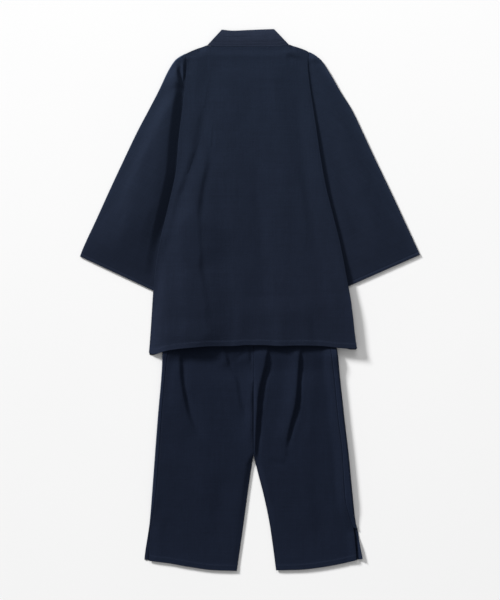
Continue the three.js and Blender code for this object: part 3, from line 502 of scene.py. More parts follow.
def back_floor(x, y):
    """The lowest the back may lie, over all that is under it."""
    from_left = x - jacket_side["left"](y)
    crossed_half_width = mix(165, 50, ramp(y, 0, 600))
    crossed = ramp(y, 605, 550) * ramp(np.abs(x), crossed_half_width + 55, crossed_half_width)
    height = mix(BACK_OVER_FRONT, BACK_OVER_COLLARS, crossed)
    between = ramp(x, -131, -123) * ramp(x, -107, -115) + ramp(x, 97, 104) * ramp(x, 114, 107)
    height = mix(height, BACK_SHOULDER, ramp(y, jacket_top(x) - 16, jacket_top(x)) * between)
    height = mix(height, BACK_CORNER_LEFT, ramp(from_left, 15, 0) * ramp(y, 0, -30))
    over_waist = ramp(y, 150, -48) * (1 - ramp(x, -200, -250))
    return mix(height, mix(BACK_OVER_WAIST, BACK_CORNER_RIGHT, ramp(x, 222, 258)), over_waist)


def back_underside(x, y):
    """The back's loft is pressed flat along its edges, but its right side stands clear of the sleeve."""
    from_left = x - jacket_side["left"](y)
    from_right = jacket_side["right"](y) - x
    from_top = jacket_top(x) - y
    at_left = 0.65 * ramp(y, 60, 160)
    free = np.minimum(mix(at_left, 1, ramp(from_left, 3, 30)), ramp(from_top, 3, 26))
    raised = mix(1.2, 4.8, ramp(y, 560, 330)) + 0.5 * ramp(from_right, 0, 9)
    raised = raised * ramp(y, 600, 550) * mix(1, 0.8, ramp(y, 60, 10))
    at_neck = 0.3 * ramp(from_top, 14, 2) * ramp(np.abs(x - NECK_X), 92, 70)
    at_hem = ramp(y - jacket_hem(x), 0, 40)
    loft = BACK_LOFT + folds_height(BACK_FOLDS, x, y) + 0.35 * crumple(x, y, 100)
    loft = soft_limit(loft * mix(0.9, 1, at_hem), 0.15, BACK_LOFT_LIMIT)
    return back_floor(x, y) + mix(raised, loft, ramp(from_right, 4, 60)) * free + at_neck


# Painted highlights on the back: along the shoulders and the neck seam, near the sides below the waist, along
# the hem and at the left hem corner.
def back_painted_highlights(x, y, edges):
    shoulder_and_neck_highlight = mix(0.25, 0.5, ramp(np.abs(x - NECK_X), 96, 116)) * np.exp(-edges["top"] / 5)
    sides = np.exp(-np.minimum(edges["left"], edges["right"]) / 7) * ramp(y, 40, 10)
    left_corner_highlight = 0.4 * np.exp(-edges["bottom"] / 26) * ramp(x, -130, -220)
    return np.maximum(shoulder_and_neck_highlight, 0.75 * sides) + 0.12 * np.exp(-edges["bottom"] / 9) + left_corner_highlight


back = panel(
    "back", jacket_side["left"], jacket_side["right"], jacket_top, jacket_hem,
    [JACKET_SIDE[side][end] for end in (0, -1) for side in SIDES],
    back_underside, hem_depth=0.8, top_sharpness=5, painted_light_and_wear=back_painted_highlights, seed=1,
)

# Jacket, fronts


def front_edge(side):
    """The slanting seam between a front and its collar run: x from y."""
    slope = -OUTWARD[side] * COLLAR_SLOPE
    return lambda y: COLLAR_START_X[side] + slope * (NECK_SEAM_Y - np.maximum(y, COLLAR_END_Y))


def front_side(side):
    """The outer side of a front, which is further in than the back's beside the sleeve: x from y."""
    def at(y):
        tuck = mix(FRONT_TUCK, 1, ramp(y, CUFF_Y[side] - 8, CUFF_Y[side] - 18))
        return np.where(y > SLEEVE_TOP_Y, FRONT_SHOULDER_X[side], jacket_side[side](y) - OUTWARD[side] * tuck)
    return at


def front_top(x):
    return jacket_top(x) - FRONT_TOP_SHORTER


def front_hem(x):
    shows = ramp(np.abs(x + np.where(x < 0, 0, -8)), 222, 236)
    return jacket_hem(x) + mix(FRONT_HEM_SHORTER, -FRONT_HEM_SHOWS, shows)


def front_right_underside(x, y):
    collar_edge = collar_seam["left"](y) + COLLAR_WIDTH
    over_collar = OVER_ONE_COLLAR * ramp(x, collar_edge + 54, collar_edge + 26)
    return np.maximum(over_collar, OVER_TIE * ramp(y, 122, 96))


def front(side, underside):
    outer_x, inner_x = FRONT_CORNER_X[side], collar_seam[side](COLLAR_END_Y)
    lines = [front_side(side), collar_seam[side]]
    top_x = [FRONT_SHOULDER_X[side], COLLAR_START_X[side]]
    bottom_x = [outer_x, inner_x]
    if side == "right":
        lines, top_x, bottom_x = lines[::-1], top_x[::-1], bottom_x[::-1]
    corners = [(x, front_top(x)) for x in top_x] + [(x, front_hem(x)) for x in bottom_x]
    return panel("front_" + side, *lines, front_top, front_hem, corners, underside, step=HIDDEN_STEP)


collar_seam = {side: front_edge(side) for side in SIDES}
front_left = front("left", lambda x, y: 0 * x)
front_right = front("right", front_right_underside)

# Collar


def collar_back_piece():
    """The double band behind the neck, which stands on the neck seam and is folded at its top."""
    left_x, right_x = COLLAR_TOP[0][0], COLLAR_TOP[-1][0]
    base_left_x, base_right_x = COLLAR_BASE_X
    u, v = np.meshgrid(spread(200, 2.5), spread(COLLAR_BACK_HEIGHT, 1.2))
    x = mix(mix(left_x, base_left_x, v), mix(right_x, base_right_x, v), u)
    seam_y = jacket_top(mix(base_left_x, base_right_x, u)) + NECK_SEAM_GAP
    y = mix(curve(COLLAR_TOP, 0)(mix(left_x, right_x, u)), seam_y, v)
    from_top, from_seam = v * COLLAR_BACK_HEIGHT, (1 - v) * COLLAR_BACK_HEIGHT
    from_side = from_ends(u, 190)
    edge = np.minimum.reduce([from_top, 6 * from_seam, from_side])
    thickness = COLLAR_BAND - 0.3 + 1.3 * np.sin(math.pi * v) + 0.2 * noise2(x / 24, y / 9, 71)
    groove = sum(0.2 * np.exp(-(((from_seam - at) / 1.1) ** 2)) for at in COLLAR_STITCH_ROWS)
    sides = two_sides(x, y, COLLAR_REST, thickness, edge, groove * ramp(edge, 0, 1))
    # Painted highlight, with wear, along the folded top and the ends.
    wear_and_painted_light = 0.35 * np.exp(-np.minimum(from_top, from_side) / 4)
    return cloth_piece("collar_behind_neck", *sides, zipped(y, x), wear_and_painted_light)


def collar_run(side, underside):
    share, v = np.meshgrid(spread(COLLAR_WIDTH, HIDDEN_STEP), spread(650, HIDDEN_STEP))
    y = mix(NECK_SEAM_Y - 2 + 34 * share, COLLAR_END_Y, v)
    x = collar_seam[side](y) - OUTWARD[side] * (SEAM_GAP + COLLAR_WIDTH * share)
    edge = np.minimum(from_ends(share, COLLAR_WIDTH), from_ends(v, 640))
    sides = two_sides(x, y, underside(y), COLLAR_BAND, edge)
    uv = zipped(COLLAR_WIDTH * share, y)
    # Paler along the edges: wear with a painted highlight.
    return cloth_piece("collar_run_" + side, *sides, uv, 0.8 * np.exp(-edge / 1.6))


collar_behind_neck = collar_back_piece()
collar_left = collar_run("left", lambda y: 0 * y)
collar_right = collar_run("right", lambda y: OVER_ONE_COLLAR * ramp(y, 545, 500))

# Ties


def tie(name, start, end, rest):
    start, end = np.array(start, float), np.array(end, float)
    length = math.hypot(*(end - start))
    along = (end - start) / length
    beside = (-along[1], along[0])
    share, v = np.meshgrid(spread(TIE_WIDTH, 2), spread(length, 6))
    aside = (share - 0.5) * TIE_WIDTH
    x, y = (start[k] + along[k] * (v * length) + beside[k] * aside for k in (0, 1))
    edge = np.minimum(from_ends(share, TIE_WIDTH), from_ends(v, length))
    sides = two_sides(x, y, rest, TIE_CLOTH, edge)
    uv = zipped(share * TIE_WIDTH, v * length)
    # Paler along the edges: wear with a painted highlight.
    return cloth_piece(name, *sides, uv, 0.8 * np.exp(-edge / 1.2))


def tie_at_collar(name, side, rest):
    inward = -OUTWARD[side]
    x = collar_seam[side](TIE_TOP_Y) + inward * (SEAM_GAP + COLLAR_WIDTH + SEAM_GAP + TIE_WIDTH / 2 + 0.4)
    down = TIE_LENGTH / math.hypot(1, COLLAR_SLOPE)
    return tie(name, (x, TIE_TOP_Y), (x + inward * COLLAR_SLOPE * down, TIE_TOP_Y - down), rest)


tie_outer_left = tie_at_collar("outer_tie_left", "left", TIE_REST_OUTER)
tie_outer_right = tie("outer_tie_right", (219, TIE_TOP_Y), (231, TIE_END_Y), TIE_REST_OUTER)
tie_inner_right = tie_at_collar("inner_tie_right", "right", TIE_REST_INNER)
tie_inner_left = tie("inner_tie_left", (-213, TIE_TOP_Y), (-222, TIE_END_Y), TIE_REST_INNER)

# Sleeves


def arc(centre, radius, first, last, count, wall):
    """Part of a circle that touches the floor: x and z outside, then x and z inside the wall."""
    angle = np.radians(np.linspace(first, last, count))
    return zipped(
        centre + radius * np.cos(angle), radius + radius * np.sin(angle),
        centre + (radius - wall) * np.cos(angle), radius + (radius - wall) * np.sin(angle),
    )


def drawn_together(ring, share):
    """A ring's outer and inner points, moved together to a share of their distance."""
    middle = (ring[:, :2] + ring[:, 2:]) / 2
    return [middle + (points - middle) * share for points in (ring[:, :2], ring[:, 2:])]


def walked_along(points):
    return np.concatenate([[0], np.cumsum(np.hypot(*np.diff(points, axis=0).T))])


def sleeve_inner_x(side, y):
    return jacket_side[side](y) - OUTWARD[side] * SLEEVE_TUCK


def sleeve(side, inner_top_y, shoulder_highlight_strength, seed, crest):
    """A flattened tube from the armhole to the cuff. crest gives how high it stands beside the body."""
    outer_x = curve(SLEEVE_OUTER[side], 1)
    (_, outer_top_y), *_, (_, outer_end_y) = SLEEVE_OUTER[side]
    length = outer_top_y - outer_end_y
    inner_radius = SLEEVE_INNER_HEIGHT / 2
    outer_grid, inner_grid, uvs, wear_and_painted_light_rows = [], [], [], []
    for v in spread(length, CLOTH_STEP, end=EDGE_STEPS + CUFF_STEPS):
        outer_y = mix(outer_top_y, outer_end_y, v)
        inner_y = mix(inner_top_y, CUFF_Y[side], v)
        start = np.array([sleeve_inner_x(side, inner_y), inner_y])
        end = np.array([outer_x(outer_y), outer_y])
        width = math.hypot(*(end - start))
        to_cuff = (1 - v) * length

        def height(a):
            x, y = (start + (end - start) * (a / width)[:, None]).T
            beyond = OUTWARD[side] * (x - jacket_side[side](y))
            share = (a - SLEEVE_TUCK) / max(width - SLEEVE_TUCK, 1)
            beside_body = mix(ramp(beyond, 1, 27), ramp(beyond, 8, 56), 0.22)
            puffed = crest(y) * beside_body * ramp(share, 1.05, 0.2)
            at_shoulder = 1.7 * ramp(beyond, 0.1, 1) * ramp(y, 590, 604)
            outer = SLEEVE_OUTER_RISE[side] * ramp(share, 0.05, 0.7) * ramp(beyond, 3, 14)
            free = ramp(beyond, 1.5, mix(18, 8, ramp(y, 500, 560))) * ramp(width - a, 2, 30)
            at_fold = ramp(width - a, 45, 0) * ramp(y, 560, 480)
            pressed = (1 - 0.9 * ramp(to_cuff, 70, 0)) * (1 - 0.75 * at_fold)
            creases = folds_height(SLEEVE_FOLDS[side], x, y) + 0.4 * crumple(x, y, seed)
            level = (puffed + outer + creases * free) * pressed + at_shoulder
            return SLEEVE_INNER_HEIGHT + soft_limit(level, 0, SLEEVE_LIMIT, 0.3) - 0.2 * ramp(beyond, 0, 10)

        end_radius = height(np.array([width - 2.0]))[0] / 2
        across = np.linspace(inner_radius, width - end_radius, SLEEVE_ACROSS + 1)
        back_across = across[::-1]
        z = height(back_across)
        z[0] = 2 * end_radius
        ring = np.concatenate([
            zipped(across, 0 * across, across, 0 * across + CLOTH),
            arc(width - end_radius, end_radius, -75, 75, 11, CLOTH),
            zipped(back_across, z, back_across, z - CLOTH),
            arc(inner_radius, inner_radius, 120, 240, 5, CLOTH),
        ])
        # The cuff is turned in and sewn: thicker below its stitches, with a groove along them.
        top_side = ring[:, 1] > CLOTH * 1.5
        stitched = math.exp(-(((to_cuff - CUFF_STITCHES) / 1.2) ** 2))
        ring[:, 1] += np.where(top_side, 0.5 * ramp(to_cuff, 7.6, 6) - 0.35 * stitched, 0)
        share = rounded(CLOTH, np.minimum(to_cuff, v * length)) / (CLOTH / 2)
        direction = (end - start) / width
        for grid, at in zip((outer_grid, inner_grid), drawn_together(ring, share)):
            grid.append(np.concatenate([start + direction * at[:, :1], at[:, 1:]], -1))
        uvs.append(zipped(walked_along(ring[:, :2]), np.full(len(ring), v * length)))
        # Painted highlight along the outer fold, stronger near the shoulder, and along the cuff, with the
        # edges' wear.
        pale = shoulder_highlight_strength * ramp(outer_y, 520, 590)
        lit_and_worn = (0.85 + pale) * np.exp(-(width - (ring[:, 0] + ring[:, 2]) / 2) / (6.5 + 2 * pale))
        wear_and_painted_light_rows.append(np.maximum(lit_and_worn, 0.6 * math.exp(-to_cuff / 5)))
    return cloth_piece("sleeve_tube_" + side, outer_grid, inner_grid, uvs, wear_and_painted_light_rows, rings=True)


sleeve_left = sleeve(
    "left", SLEEVE_TOP_Y, 1.2, 200,
    lambda y: 13 * ramp(y, 592, 480) * mix(1, 0.4, ramp(y, 240, 100)) * mix(1, 0.4, ramp(y, 90, -10)),
)
sleeve_right = sleeve("right", SLEEVE_TOP_Y + 2, 0.7, 300, lambda y: 0.6 * ramp(y, 590, 480))

# Trousers


def trouser_rest(x, y):
    """How high the legs lie: over the jacket's fronts at the top, and sooner on the floor at the left."""
    sags = ramp(x, -62, -90) * ramp(x, -230, -210)
    return TROUSER_REST * mix(ramp(y, -182, -130), ramp(y, -156, -127), sags)


def leg_inner(side, y):
    return inseam[side](y) + OUTWARD[side] * SEAM_GAP / 2


def edge_height(side, y):
    """How high the outer fold of a leg stands: pressed under the jacket, round below, flat at the slit."""
    under_jacket = ramp(y, -150, -105)
    return mix(mix(LEG_EDGE_HEIGHT[side], 5.6, under_jacket), LEG_SLIT_HEIGHT[side], ramp(y, *EDGE_FALLS_Y))


def leg_height(side, x, y):
    """The top face of the legs above the lower face's underside."""
    from_inner = np.abs(x - leg_inner(side, y))
    from_seam = np.abs(x - outseam[side](y))
    under_jacket = ramp(y, -162, -124)
    highest = mix(LEG_HIGHEST, 5.9, under_jacket)
    mean = mix(LEG_MEAN, 4.4, ramp(y, -400, -600))
    mean = mix(mean, 3.4, ramp(y, -225, -140))
    mean = mix(mean, 4.4, ramp(y, -124, -100))
    folded = mean + folds_height(TROUSER_FOLDS, x, y) + 0.45 * crumple(x, y, 400)
    middle = np.minimum(soft_limit(folded, LEG_LOWEST, LEG_HIGHEST), highest)
    at_seam = edge_height(side, y) + BACK_RISE_AT_SLIT[side] * ramp(y, SLIT_TOP_Y, -592)
    beside_seam = mix(at_seam, middle, ramp(from_seam, 0, 26))
    open_leg = ramp(y, -376, -416)
    inner_height = mix(np.minimum(middle, mix(10, 4.2, under_jacket)), INSEAM_HEIGHT + 0.6, open_leg)
    inner_reach = mix(7, 16, open_leg)
    to_hem = ramp(y - leg_hem[side](x), 0, 22)
    height = mix(inner_height, beside_seam, ramp(from_inner / inner_reach, 0, 1))
    return mix(mix(height, INSEAM_HEIGHT + 1, 0.45), height, to_hem)


def trousers_back(side):
    sides = [lambda y: outseam[side](y) - OUTWARD[side] * SEAM_GAP / 2, lambda y: leg_inner(side, y)]
    top_x = [outseam[side](LEG_TOP_Y), leg_inner(side, LEG_TOP_Y)]
    if side == "right":
        sides, top_x = sides[::-1], top_x[::-1]
    return panel(
        "trouser_back_" + side, *sides, lambda x: 0 * x + LEG_TOP_Y, leg_hem[side],
        [(x, LEG_TOP_Y) for x in top_x] + [LEG_HEM[side][0], LEG_HEM[side][-1]],
        lambda x, y: trouser_rest(x, y) + leg_height(side, x, y) - CLOTH,
        # Painted highlight towards the hem.
        hem_depth=0.35, seam_depth=0.15, painted_light_and_wear=lambda x, y, edges: 0.4 * np.exp(-edges["bottom"] / 22),
        seed=20 if side == "left" else 30,
    )


def trousers_front(side):
    """The front of a leg: flat underneath, rolled up round the outer edge to the outseam on top."""
    outward = OUTWARD[side]
    (_, outer_end_y), *_, (_, inner_end_y) = LEG_HEM[side][::-outward]
    outer_grid, inner_grid, uvs, wear_and_painted_light_rows = [], [], [], []
    height = LEG_TOP_Y - inner_end_y
    steps, fine = 26, 6
    outer_length = LEG_TOP_Y - outer_end_y - LEG_FRONT_SHORTER
    slit_rows = (LEG_TOP_Y - np.arange(-583, -560, 1.2)) / outer_length
    for v in np.union1d(spread(height, 4), slit_rows):
        inner_y = mix(LEG_TOP_Y, inner_end_y + LEG_FRONT_SHORTER, v)
        outer_y = mix(LEG_TOP_Y, outer_end_y + LEG_FRONT_SHORTER, v)
        inner_x = leg_inner(side, inner_y) + FRONT_SEAM_ASIDE * ramp(inner_y, -388, -366)
        outer_x = leg_outer[side](outer_y)
        radius = edge_height(side, max(outer_y, ROLL_FULL_Y)) / 2
        wrap = abs(outer_x - outseam[side](outer_y)) - SEAM_GAP
        whole = math.pi * radius + wrap - radius
        half_turn = math.pi / 2 * radius
        if outer_y > ROLL_HALF_Y:
            roll = mix(whole, half_turn, ramp(outer_y, ROLL_FULL_Y, ROLL_HALF_Y))
        else:
            roll = mix(half_turn, 5, ramp(outer_y, ROLL_HALF_Y, SLIT_TOP_Y))
        rolled = ramp(outer_y, SLIT_TOP_Y, ROLL_HALF_Y)
        step = roll / (steps * fine)
        turn = np.minimum(np.linspace(0, roll, steps * fine + 1) / radius, math.pi) * rolled
        heading = turn[1:] - step / radius / 2 * rolled
        a, z = (np.concatenate([[0], np.cumsum(part(heading) * step)])[::fine] for part in (np.cos, np.sin))
        flat_end = outer_x - outward * a.max()
        flat_x = mix(inner_x, flat_end, np.linspace(0, 1, 41)[:-1])
        x = np.concatenate([flat_x, flat_end + outward * a])
        z = np.concatenate([0 * flat_x, z])
        turn = np.concatenate([0 * flat_x, turn[::fine]])
        y = mix(inner_y, outer_y, (x - inner_x) / (outer_x - inner_x))
        past_seam = outward * (x - outseam[side](y))
        z = z + FLAP_RISE[side] * ramp(past_seam, -2, 15) * ramp(y, SLIT_TOP_Y - 4, -618)
        edge = np.minimum(from_ends(v, height), np.arange(len(x))[::-1] * roll / steps)
        half = rounded(CLOTH, np.minimum(edge, np.abs(x - inner_x)))
        for grid, offset in ((outer_grid, CLOTH / 2 - half), (inner_grid, CLOTH / 2 + half)):
            lifted = trouser_rest(x, y) + z + np.cos(turn) * offset
            grid.append(zipped(x - outward * np.sin(turn) * offset, y, lifted))
        uvs.append(zipped(walked_along(zipped(x, z)), y))
        # Painted highlight on the rolled edge, with its wear; painted shade on the inside face beside the
        # outseam, in the gap at the slit.
        lit_and_worn = 0.45 + 0.4 * np.exp(-np.abs(x - outer_x) / 4)
        wear_and_painted_light_rows.append(np.where((turn < 0.5) & (past_seam < 2.5), SLIT_GAP_PAINTED_SHADE, lit_and_worn))
    return cloth_piece("trouser_front_" + side, inner_grid, outer_grid, uvs, wear_and_painted_light_rows)


def waistband_piece():
    """The gathered casing round the waist, a flattened ring."""
    height, band, gathers, length = 5, 2, 18, 35
    radius = height / 2
    outer_grid, inner_grid, uvs, wear_and_painted_light_rows = [], [], [], []
    for v in spread(length, 3):
        y = mix(LEG_TOP_Y + SEAM_GAP, WAISTBAND_TOP_Y, v)
        half_width = mix(WAIST_SEAM_HALF_WIDTH, WAISTBAND_HALF_WIDTH, v) - radius
        x = np.linspace(-half_width, half_width, 61)
        top_x = np.linspace(half_width, -half_width, gathers * 8 + 1)
        share = (half_width - top_x) / (2 * half_width)
        puff = math.sin(math.pi * mix(0.1, 0.9, v))
        wave = 0.275 * puff * (1 - np.cos(2 * math.pi * gathers * share))
        ring = np.concatenate([
            zipped(x, 0 * x, x, 0 * x + band),
            arc(half_width, radius, -75, 75, 9, band),
            zipped(top_x, height + wave, top_x, 0 * top_x + height - band),
            arc(-half_width, radius, 105, 255, 9, band),
        ])
        whole = rounded(band, from_ends(v, length)) / (band / 2)
        for grid, at in zip((outer_grid, inner_grid), drawn_together(ring, whole)):
            grid.append(zipped(at[:, 0] + 1, 0 * at[:, 0] + y, TROUSER_REST + at[:, 1]))
        uvs.append(zipped(np.arange(len(ring)) * 4.0, np.full(len(ring), v * length)))
        wear_and_painted_light_rows.append(np.zeros(len(ring)))
    return cloth_piece("waist_casing", outer_grid, inner_grid, uvs, wear_and_painted_light_rows, rings=True)


trouser_back_left, trouser_back_right = map(trousers_back, SIDES)
trouser_front_left, trouser_front_right = map(trousers_front, SIDES)
waist_casing = waistband_piece()

# Stitches


def top_of(*pieces):
    """A function that gives the point and the normal of the pieces' top from x and y."""
    vertices, faces = [], []
    for piece in pieces:
        base = len(vertices)
        vertices.extend(vertex.co.copy() for vertex in piece.data.vertices)
        faces.extend([base + k for k in polygon.vertices] for polygon in piece.data.polygons)
    tree = BVHTree.FromPolygons(vertices, faces)
    return lambda x, y: tree.ray_cast(Vector((x * MM, y * MM, 1)), Vector((0, 0, -1)))[:2]


def stitch_piece(name, surface, lines, seed):
    """A row of stitches along each line, sunk into the cloth, as one mesh."""
    rng = np.random.default_rng(seed)
    sides = 6
    angle = np.arange(sides) * 2 * math.pi / sides
    vertices, faces = [], []
    for line in lines:
        line = np.array(line, float)
        along = walked_along(line)
        for place in np.arange(STITCH_PITCH / 2, along[-1], STITCH_PITCH):
            place += rng.uniform(-0.12, 0.12)
            half = STITCH_LENGTH / 2 * rng.uniform(0.92, 1.06)
            from_end, to_end = (zipped(*(np.interp(at, along, line[:, k]) for k in (0, 1)))
                                for at in (place - half, place + half))
            hit, normal = surface(*(from_end + to_end) / 2)
            if hit is None:
                continue
            direction = Vector((*(to_end - from_end), 0))
            direction = (direction - normal * direction.dot(normal)).normalized()
            across = normal.cross(direction)
            base = len(vertices)
            middle = hit / MM + normal * (0.12 * THREAD_WIDTH)
            for share, radius in ((-1, 0), (-0.72, 0.85), (0, 1), (0.72, 0.85), (1, 0)):
                ring = middle + direction * (half * share) - normal * (0.35 * THREAD_WIDTH * share * share)
                if radius == 0:
                    vertices.append(ring)
                    continue
                for a in angle:
                    offset = across * math.cos(a) + normal * (0.8 * math.sin(a))
                    vertices.append(ring + offset * (THREAD_WIDTH / 2 * radius))
            for k in range(sides):
                n = (k + 1) % sides
                faces.append([base, base + 1 + n, base + 1 + k])
                for r in (0, 1):
                    low, high = base + 1 + r * sides, base + 1 + (r + 1) * sides
                    faces.append([low + k, low + n, high + n, high + k])
                faces.append([base + 1 + 2 * sides + k, base + 1 + 2 * sides + n, base + 1 + 3 * sides])
    return new_mesh(name, vertices, faces)


def along_x(start, end, y_of_x):
    x = np.linspace(start, end, 120)
    return zipped(x, y_of_x(x))


def along_y(start, end, x_of_y):
    y = np.linspace(start, end, 160)
    return zipped(x_of_y(y), y)


def collar_line(above_seam):
    return along_x(-94, 84, lambda x: 0 * x + NECK_SEAM_Y + NECK_SEAM_GAP + above_seam)


def cuff_line(side):
    before, end = np.array(SLEEVE_OUTER[side][-2:], float)
    start = np.array([sleeve_inner_x(side, CUFF_Y[side]), CUFF_Y[side]])
    up = (before - end) / math.hypot(*(before - end)) * CUFF_STITCHES
    return [start + up + (end - start) * 0.06, end + up - (end - start) * 0.015]


def leg_hem_line(side):
    (start, _), *_, (end, _) = LEG_HEM[side]
    return along_x(start + 2, end - 2, lambda x: leg_hem[side](x) + HEM_STITCHES)


back_hem_stitches = stitch_piece(
    "back_hem_stitches", top_of(back), [along_x(-247, 262, lambda x: jacket_hem(x) + HEM_STITCHES)], 1)
collar_stitches = stitch_piece(
    "collar_stitches", top_of(collar_behind_neck), [collar_line(at) for at in COLLAR_STITCH_ROWS[1:]], 2)
cuff_stitches_left = stitch_piece("cuff_stitches_left", top_of(sleeve_left), [cuff_line("left")], 3)
cuff_stitches_right = stitch_piece("cuff_stitches_right", top_of(sleeve_right), [cuff_line("right")], 4)
trouser_stitches = stitch_piece("trouser_stitches", top_of(trouser_back_left, trouser_back_right), [
    leg_hem_line("left"),
    leg_hem_line("right"),
    along_y(-125, -380, lambda y: 0 * y + CENTRE_SEAM_X - 5),
    along_y(-130, -560, lambda y: outseam["right"](y) - 4),
    along_y(-135, -560, lambda y: outseam["left"](y) + 4),
], 5)

# Materials


def feed(tree, node, inputs):
    """Sets a node's inputs by name or number: a socket is linked, anything else is a value."""
    for name, value in inputs.items():
        if isinstance(value, bpy.types.NodeSocket):
            tree.links.new(value, node.inputs[name])
        else:
            node.inputs[name].default_value = value


def add_node(tree, kind, inputs=None):
    node = tree.nodes.new("ShaderNode" + kind)
    feed(tree, node, inputs or {})
    return node


def new_material(name, roughness, specular):
    material = bpy.data.materials.new(name)
    material.use_nodes = True
    shader = material.node_tree.nodes["Principled BSDF"]
    feed(material.node_tree, shader, {"Roughness": roughness, "Specular IOR Level": specular})
    return material, material.node_tree, shader


def mottled_material(name, roughness, specular, scale, darkest, palest):
    """A plain material whose colour wanders between two, in patches of 1/scale of a metre."""
    material, tree, shader = new_material(name, roughness, specular)
    place = add_node(tree, "TexCoord").outputs["Object"]
    patches = add_node(tree, "TexNoise", {"Scale": scale, "Vector": place}).outputs["Fac"]
    colours = add_node(tree, "ValToRGB", {"Fac": patches})
    for stop, colour in zip(colours.color_ramp.elements, (darkest, palest)):
        stop.color = (*colour, 1)
    feed(tree, shader, {"Base Color": colours.outputs["Color"]})
    return material


def cloth_material(name, lit_upper_colour, shaded_lower_colour):
    """Plain-woven navy cotton: threads and slubs in the bump, mottled dye, paler where edges wear and at
    painted highlights, darker at painted shade, and painted paler towards the shoulders and darker towards
    the hem as the light falls off."""
    material, tree, shader = new_material(name, 0.86, 0.05)
    feed(tree, shader, {
        "Sheen Weight": 0.015, "Sheen Roughness": 0.5, "Sheen Tint": (0.45, 0.55, 0.8, 1),
    })
    uv_map = add_node(tree, "UVMap")
    uv_map.uv_map = "cut"
    cut = uv_map.outputs["UV"]

    def noise(scale_u, scale_v, detail):
        stretched = add_node(tree, "Mapping", {"Scale": (scale_u, scale_v, 1), "Vector": cut})
        return add_node(tree, "TexNoise", {
            "Scale": 1, "Detail": detail, "Vector": stretched.outputs["Vector"],
        }).outputs["Fac"]

    def combined(operation, *values):
        node = add_node(tree, "Math")
        node.operation = operation
        feed(tree, node, dict(enumerate(values)))
        return node.outputs["Value"]

    def times(first, *others):
        for other in others:
            first = combined("MULTIPLY", first, other)
        return first

    def scaled(value, low, high):
        return add_node(tree, "MapRange", {
            "From Min": 0.25, "From Max": 0.75, "To Min": low, "To Max": high, "Value": value,
        }).outputs["Result"]

    cut_parts = add_node(tree, "SeparateXYZ", {"Vector": cut}).outputs
    warp, weft = (combined("SINE", times(cut_parts[axis], 2 * math.pi / YARN_PITCH)) for axis in "XY")
    weave = times(warp, weft)
    slubs = combined("ADD", noise(60, 900, 2), noise(1100, 45, 2))
    mottle = noise(28, 17, 4)
    speckle = noise(420, 420, 3)
    streaks = times(combined("ADD", noise(330, 9, 2), noise(7, 300, 2)), 0.5)
    # Brighter with wear and painted highlights, darker with painted shade, as the per-point attribute says.
    painted_light_and_wear = add_node(tree, "Attribute")
    painted_light_and_wear.attribute_name = "wear_and_painted_light"
    lit_and_worn = combined("ADD", times(painted_light_and_wear.outputs["Fac"], 0.6), 1.0)
    tone = times(
        scaled(mottle, 0.95, 1.05), scaled(speckle, 0.85, 1.15), scaled(times(slubs, 0.5), 0.88, 1.12),
        scaled(streaks, 0.88, 1.12), lit_and_worn,
    )
    # Painted light falloff: going up, the jacket's cloth goes from the darker hem colour to the paler
    # shoulder colour.
    place = add_node(tree, "TexCoord").outputs["Object"]
    up = add_node(tree, "SeparateXYZ", {"Vector": place}).outputs["Y"]
    colour_with_falloff = add_node(tree, "Mix")
    colour_with_falloff.data_type = "VECTOR"
    painted_falloff = add_node(tree, "MapRange", {"From Min": 0.0, "From Max": 0.5, "Value": up}).outputs["Result"]
    feed(tree, colour_with_falloff, {"A": shaded_lower_colour, "B": lit_upper_colour, "Factor": painted_falloff})
    blend = add_node(tree, "VectorMath")
    blend.operation = "SCALE"
    feed(tree, blend, {0: colour_with_falloff.outputs["Result"], "Scale": tone})
    height = combined("ADD", combined("ADD", times(weave, 0.12), slubs), times(speckle, 0.8))
    bump = add_node(tree, "Bump", {"Strength": 0.5, "Distance": 0.0006, "Height": height})
    feed(tree, shader, {
        "Base Color": blend.outputs["Vector"],
        "Roughness": scaled(speckle, 0.8, 0.94),
        "Normal": bump.outputs["Normal"],
    })
    return material


jacket_cloth = cloth_material("jacket cotton", JACKET_LIT_TOP_COLOUR, JACKET_SHADED_HEM_COLOUR)
collar_cloth = cloth_material("collar cotton", COLLAR_COLOUR, COLLAR_COLOUR)
trouser_cloth = cloth_material("trouser cotton", TROUSER_COLOUR, TROUSER_COLOUR)
thread = mottled_material("sewing thread", 0.7, 0.1, 900, THREAD_DARK, THREAD_PALE)


def dress(piece, material):
    piece.data.materials.append(material)
    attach(piece, "root")


JACKET = (jacket_cloth, "jacket_cloth")
COLLAR = (collar_cloth, "collar_cloth")
TIE = (jacket_cloth, "tie_cloth")
TROUSERS = (trouser_cloth, "trouser_cloth")

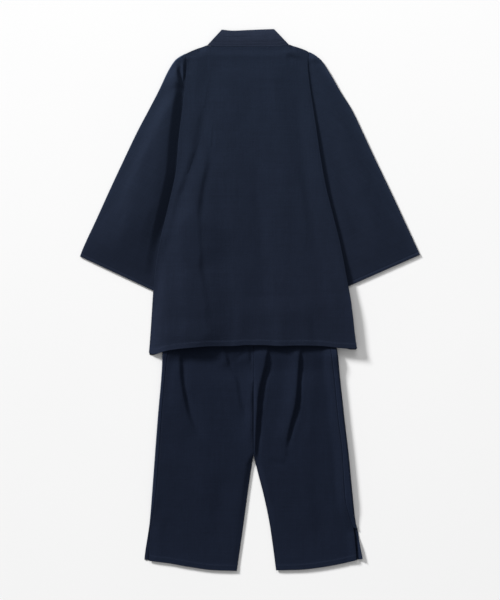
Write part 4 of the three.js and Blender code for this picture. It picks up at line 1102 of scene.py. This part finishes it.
# Each piece's look, the solid that it stands for, the width and length of its cut and its area in metres,
# all round on a tube, how it is held, what it lies on, and the stitches sewn on it
PIECES = [
    (back, JACKET, "jacket_back", (0.52, 0.77), 0.304, "laid", [front_left, front_right, waist_casing],
     back_hem_stitches),
    (front_left, JACKET, "jacket_front_left", (0.37, 0.76), 0.16, "laid", []),
    (front_right, JACKET, "jacket_front_right", (0.4, 0.76), 0.167, "laid", [front_left]),
    (sleeve_left, JACKET, "sleeve_left", (0.43, 0.59), 0.153, "laid", [], cuff_stitches_left),
    (sleeve_right, JACKET, "sleeve_right", (0.43, 0.58), 0.153, "laid", [], cuff_stitches_right),
    (collar_behind_neck, COLLAR, "collar_back", (0.204, 0.044), 0.0073, "folded", [front_left, front_right],
     collar_stitches),
    (collar_left, COLLAR, "collar_left", (0.044, 0.69), 0.0287, "folded", []),
    (collar_right, COLLAR, "collar_right", (0.044, 0.69), 0.0287, "folded", [collar_left]),
    (tie_outer_left, TIE, "tie_outer_left", (0.013, 0.163), None, "laid", []),
    (tie_outer_right, TIE, "tie_outer_right", (0.013, 0.17), None, "laid", []),
    (tie_inner_left, TIE, "tie_inner_left", (0.013, 0.17), None, "laid", [front_left]),
    (tie_inner_right, TIE, "tie_inner_right", (0.013, 0.163), None, "laid", [front_left]),
    (trouser_back_left, TROUSERS, "trousers_back_left", (0.245, 0.585), 0.132, "laid", [trouser_front_left],
     trouser_stitches),
    (trouser_back_right, TROUSERS, "trousers_back_right", (0.225, 0.585), 0.121, "laid",
     [trouser_front_right]),
    (trouser_front_left, TROUSERS, "trousers_front_left", (0.265, 0.585), 0.141, "folded", []),
    (trouser_front_right, TROUSERS, "trousers_front_right", (0.265, 0.585), 0.135, "folded", []),
    (waist_casing, TROUSERS, "waistband", (0.036, 0.83), None, "gathered", [front_left, front_right]),
]
for piece, (material, slot), node, _, _, _, _, *sewn_on in PIECES:
    dress(piece, material)
    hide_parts(node)
    for stitches in sewn_on:
        dress(stitches, thread)

# Floor, light and camera


def soft_light(name, azimuth, elevation, distance, size, power):
    """A round soft box that points at the middle of the floor; its azimuth is 90 beyond the neck."""
    data = bpy.data.lights.new(name, "AREA")
    data.shape = "DISK"
    data.size = size
    data.energy = power
    light = add_object(name, data)
    azimuth, elevation = math.radians(azimuth), math.radians(elevation)
    away, up = distance * math.cos(elevation), distance * math.sin(elevation)
    light.location = (away * math.cos(azimuth), away * math.sin(azimuth), up)
    light.rotation_mode = "QUATERNION"
    light.rotation_quaternion = (-light.location).to_track_quat("-Z", "Y")


around = ((-1, -1), (1, -1), (1, 1), (-1, 1))
floor = new_mesh("floor", [(FLOOR_REACH * x, FLOOR_REACH * y, FLOOR_Z) for x, y in around], [(0, 1, 2, 3)])
floor.data.materials.append(mottled_material("pale floor", 1, 0, 1.5, [0.90] * 3, [0.92] * 3))

world = bpy.data.worlds.new("studio")
bpy.context.scene.world = world
world.use_nodes = True
feed(world.node_tree, world.node_tree.nodes["Background"], {"Color": (1, 1, 1, 1), "Strength": 0.35})
soft_light("key", azimuth=135, elevation=18.5, distance=80, size=14, power=110500)
soft_light("top_fill", azimuth=90, elevation=33, distance=5.9, size=3, power=88)

lens = bpy.data.cameras.new("camera")
lens.sensor_width = SENSOR
lens.lens = SENSOR * CAMERA_HEIGHT / FRAME_HEIGHT
lens.clip_end = 100
camera = add_object("camera", lens)
camera.location = (0, 0, CAMERA_HEIGHT)
bpy.context.scene.camera = camera
bpy.context.scene.view_settings.view_transform = "Standard"
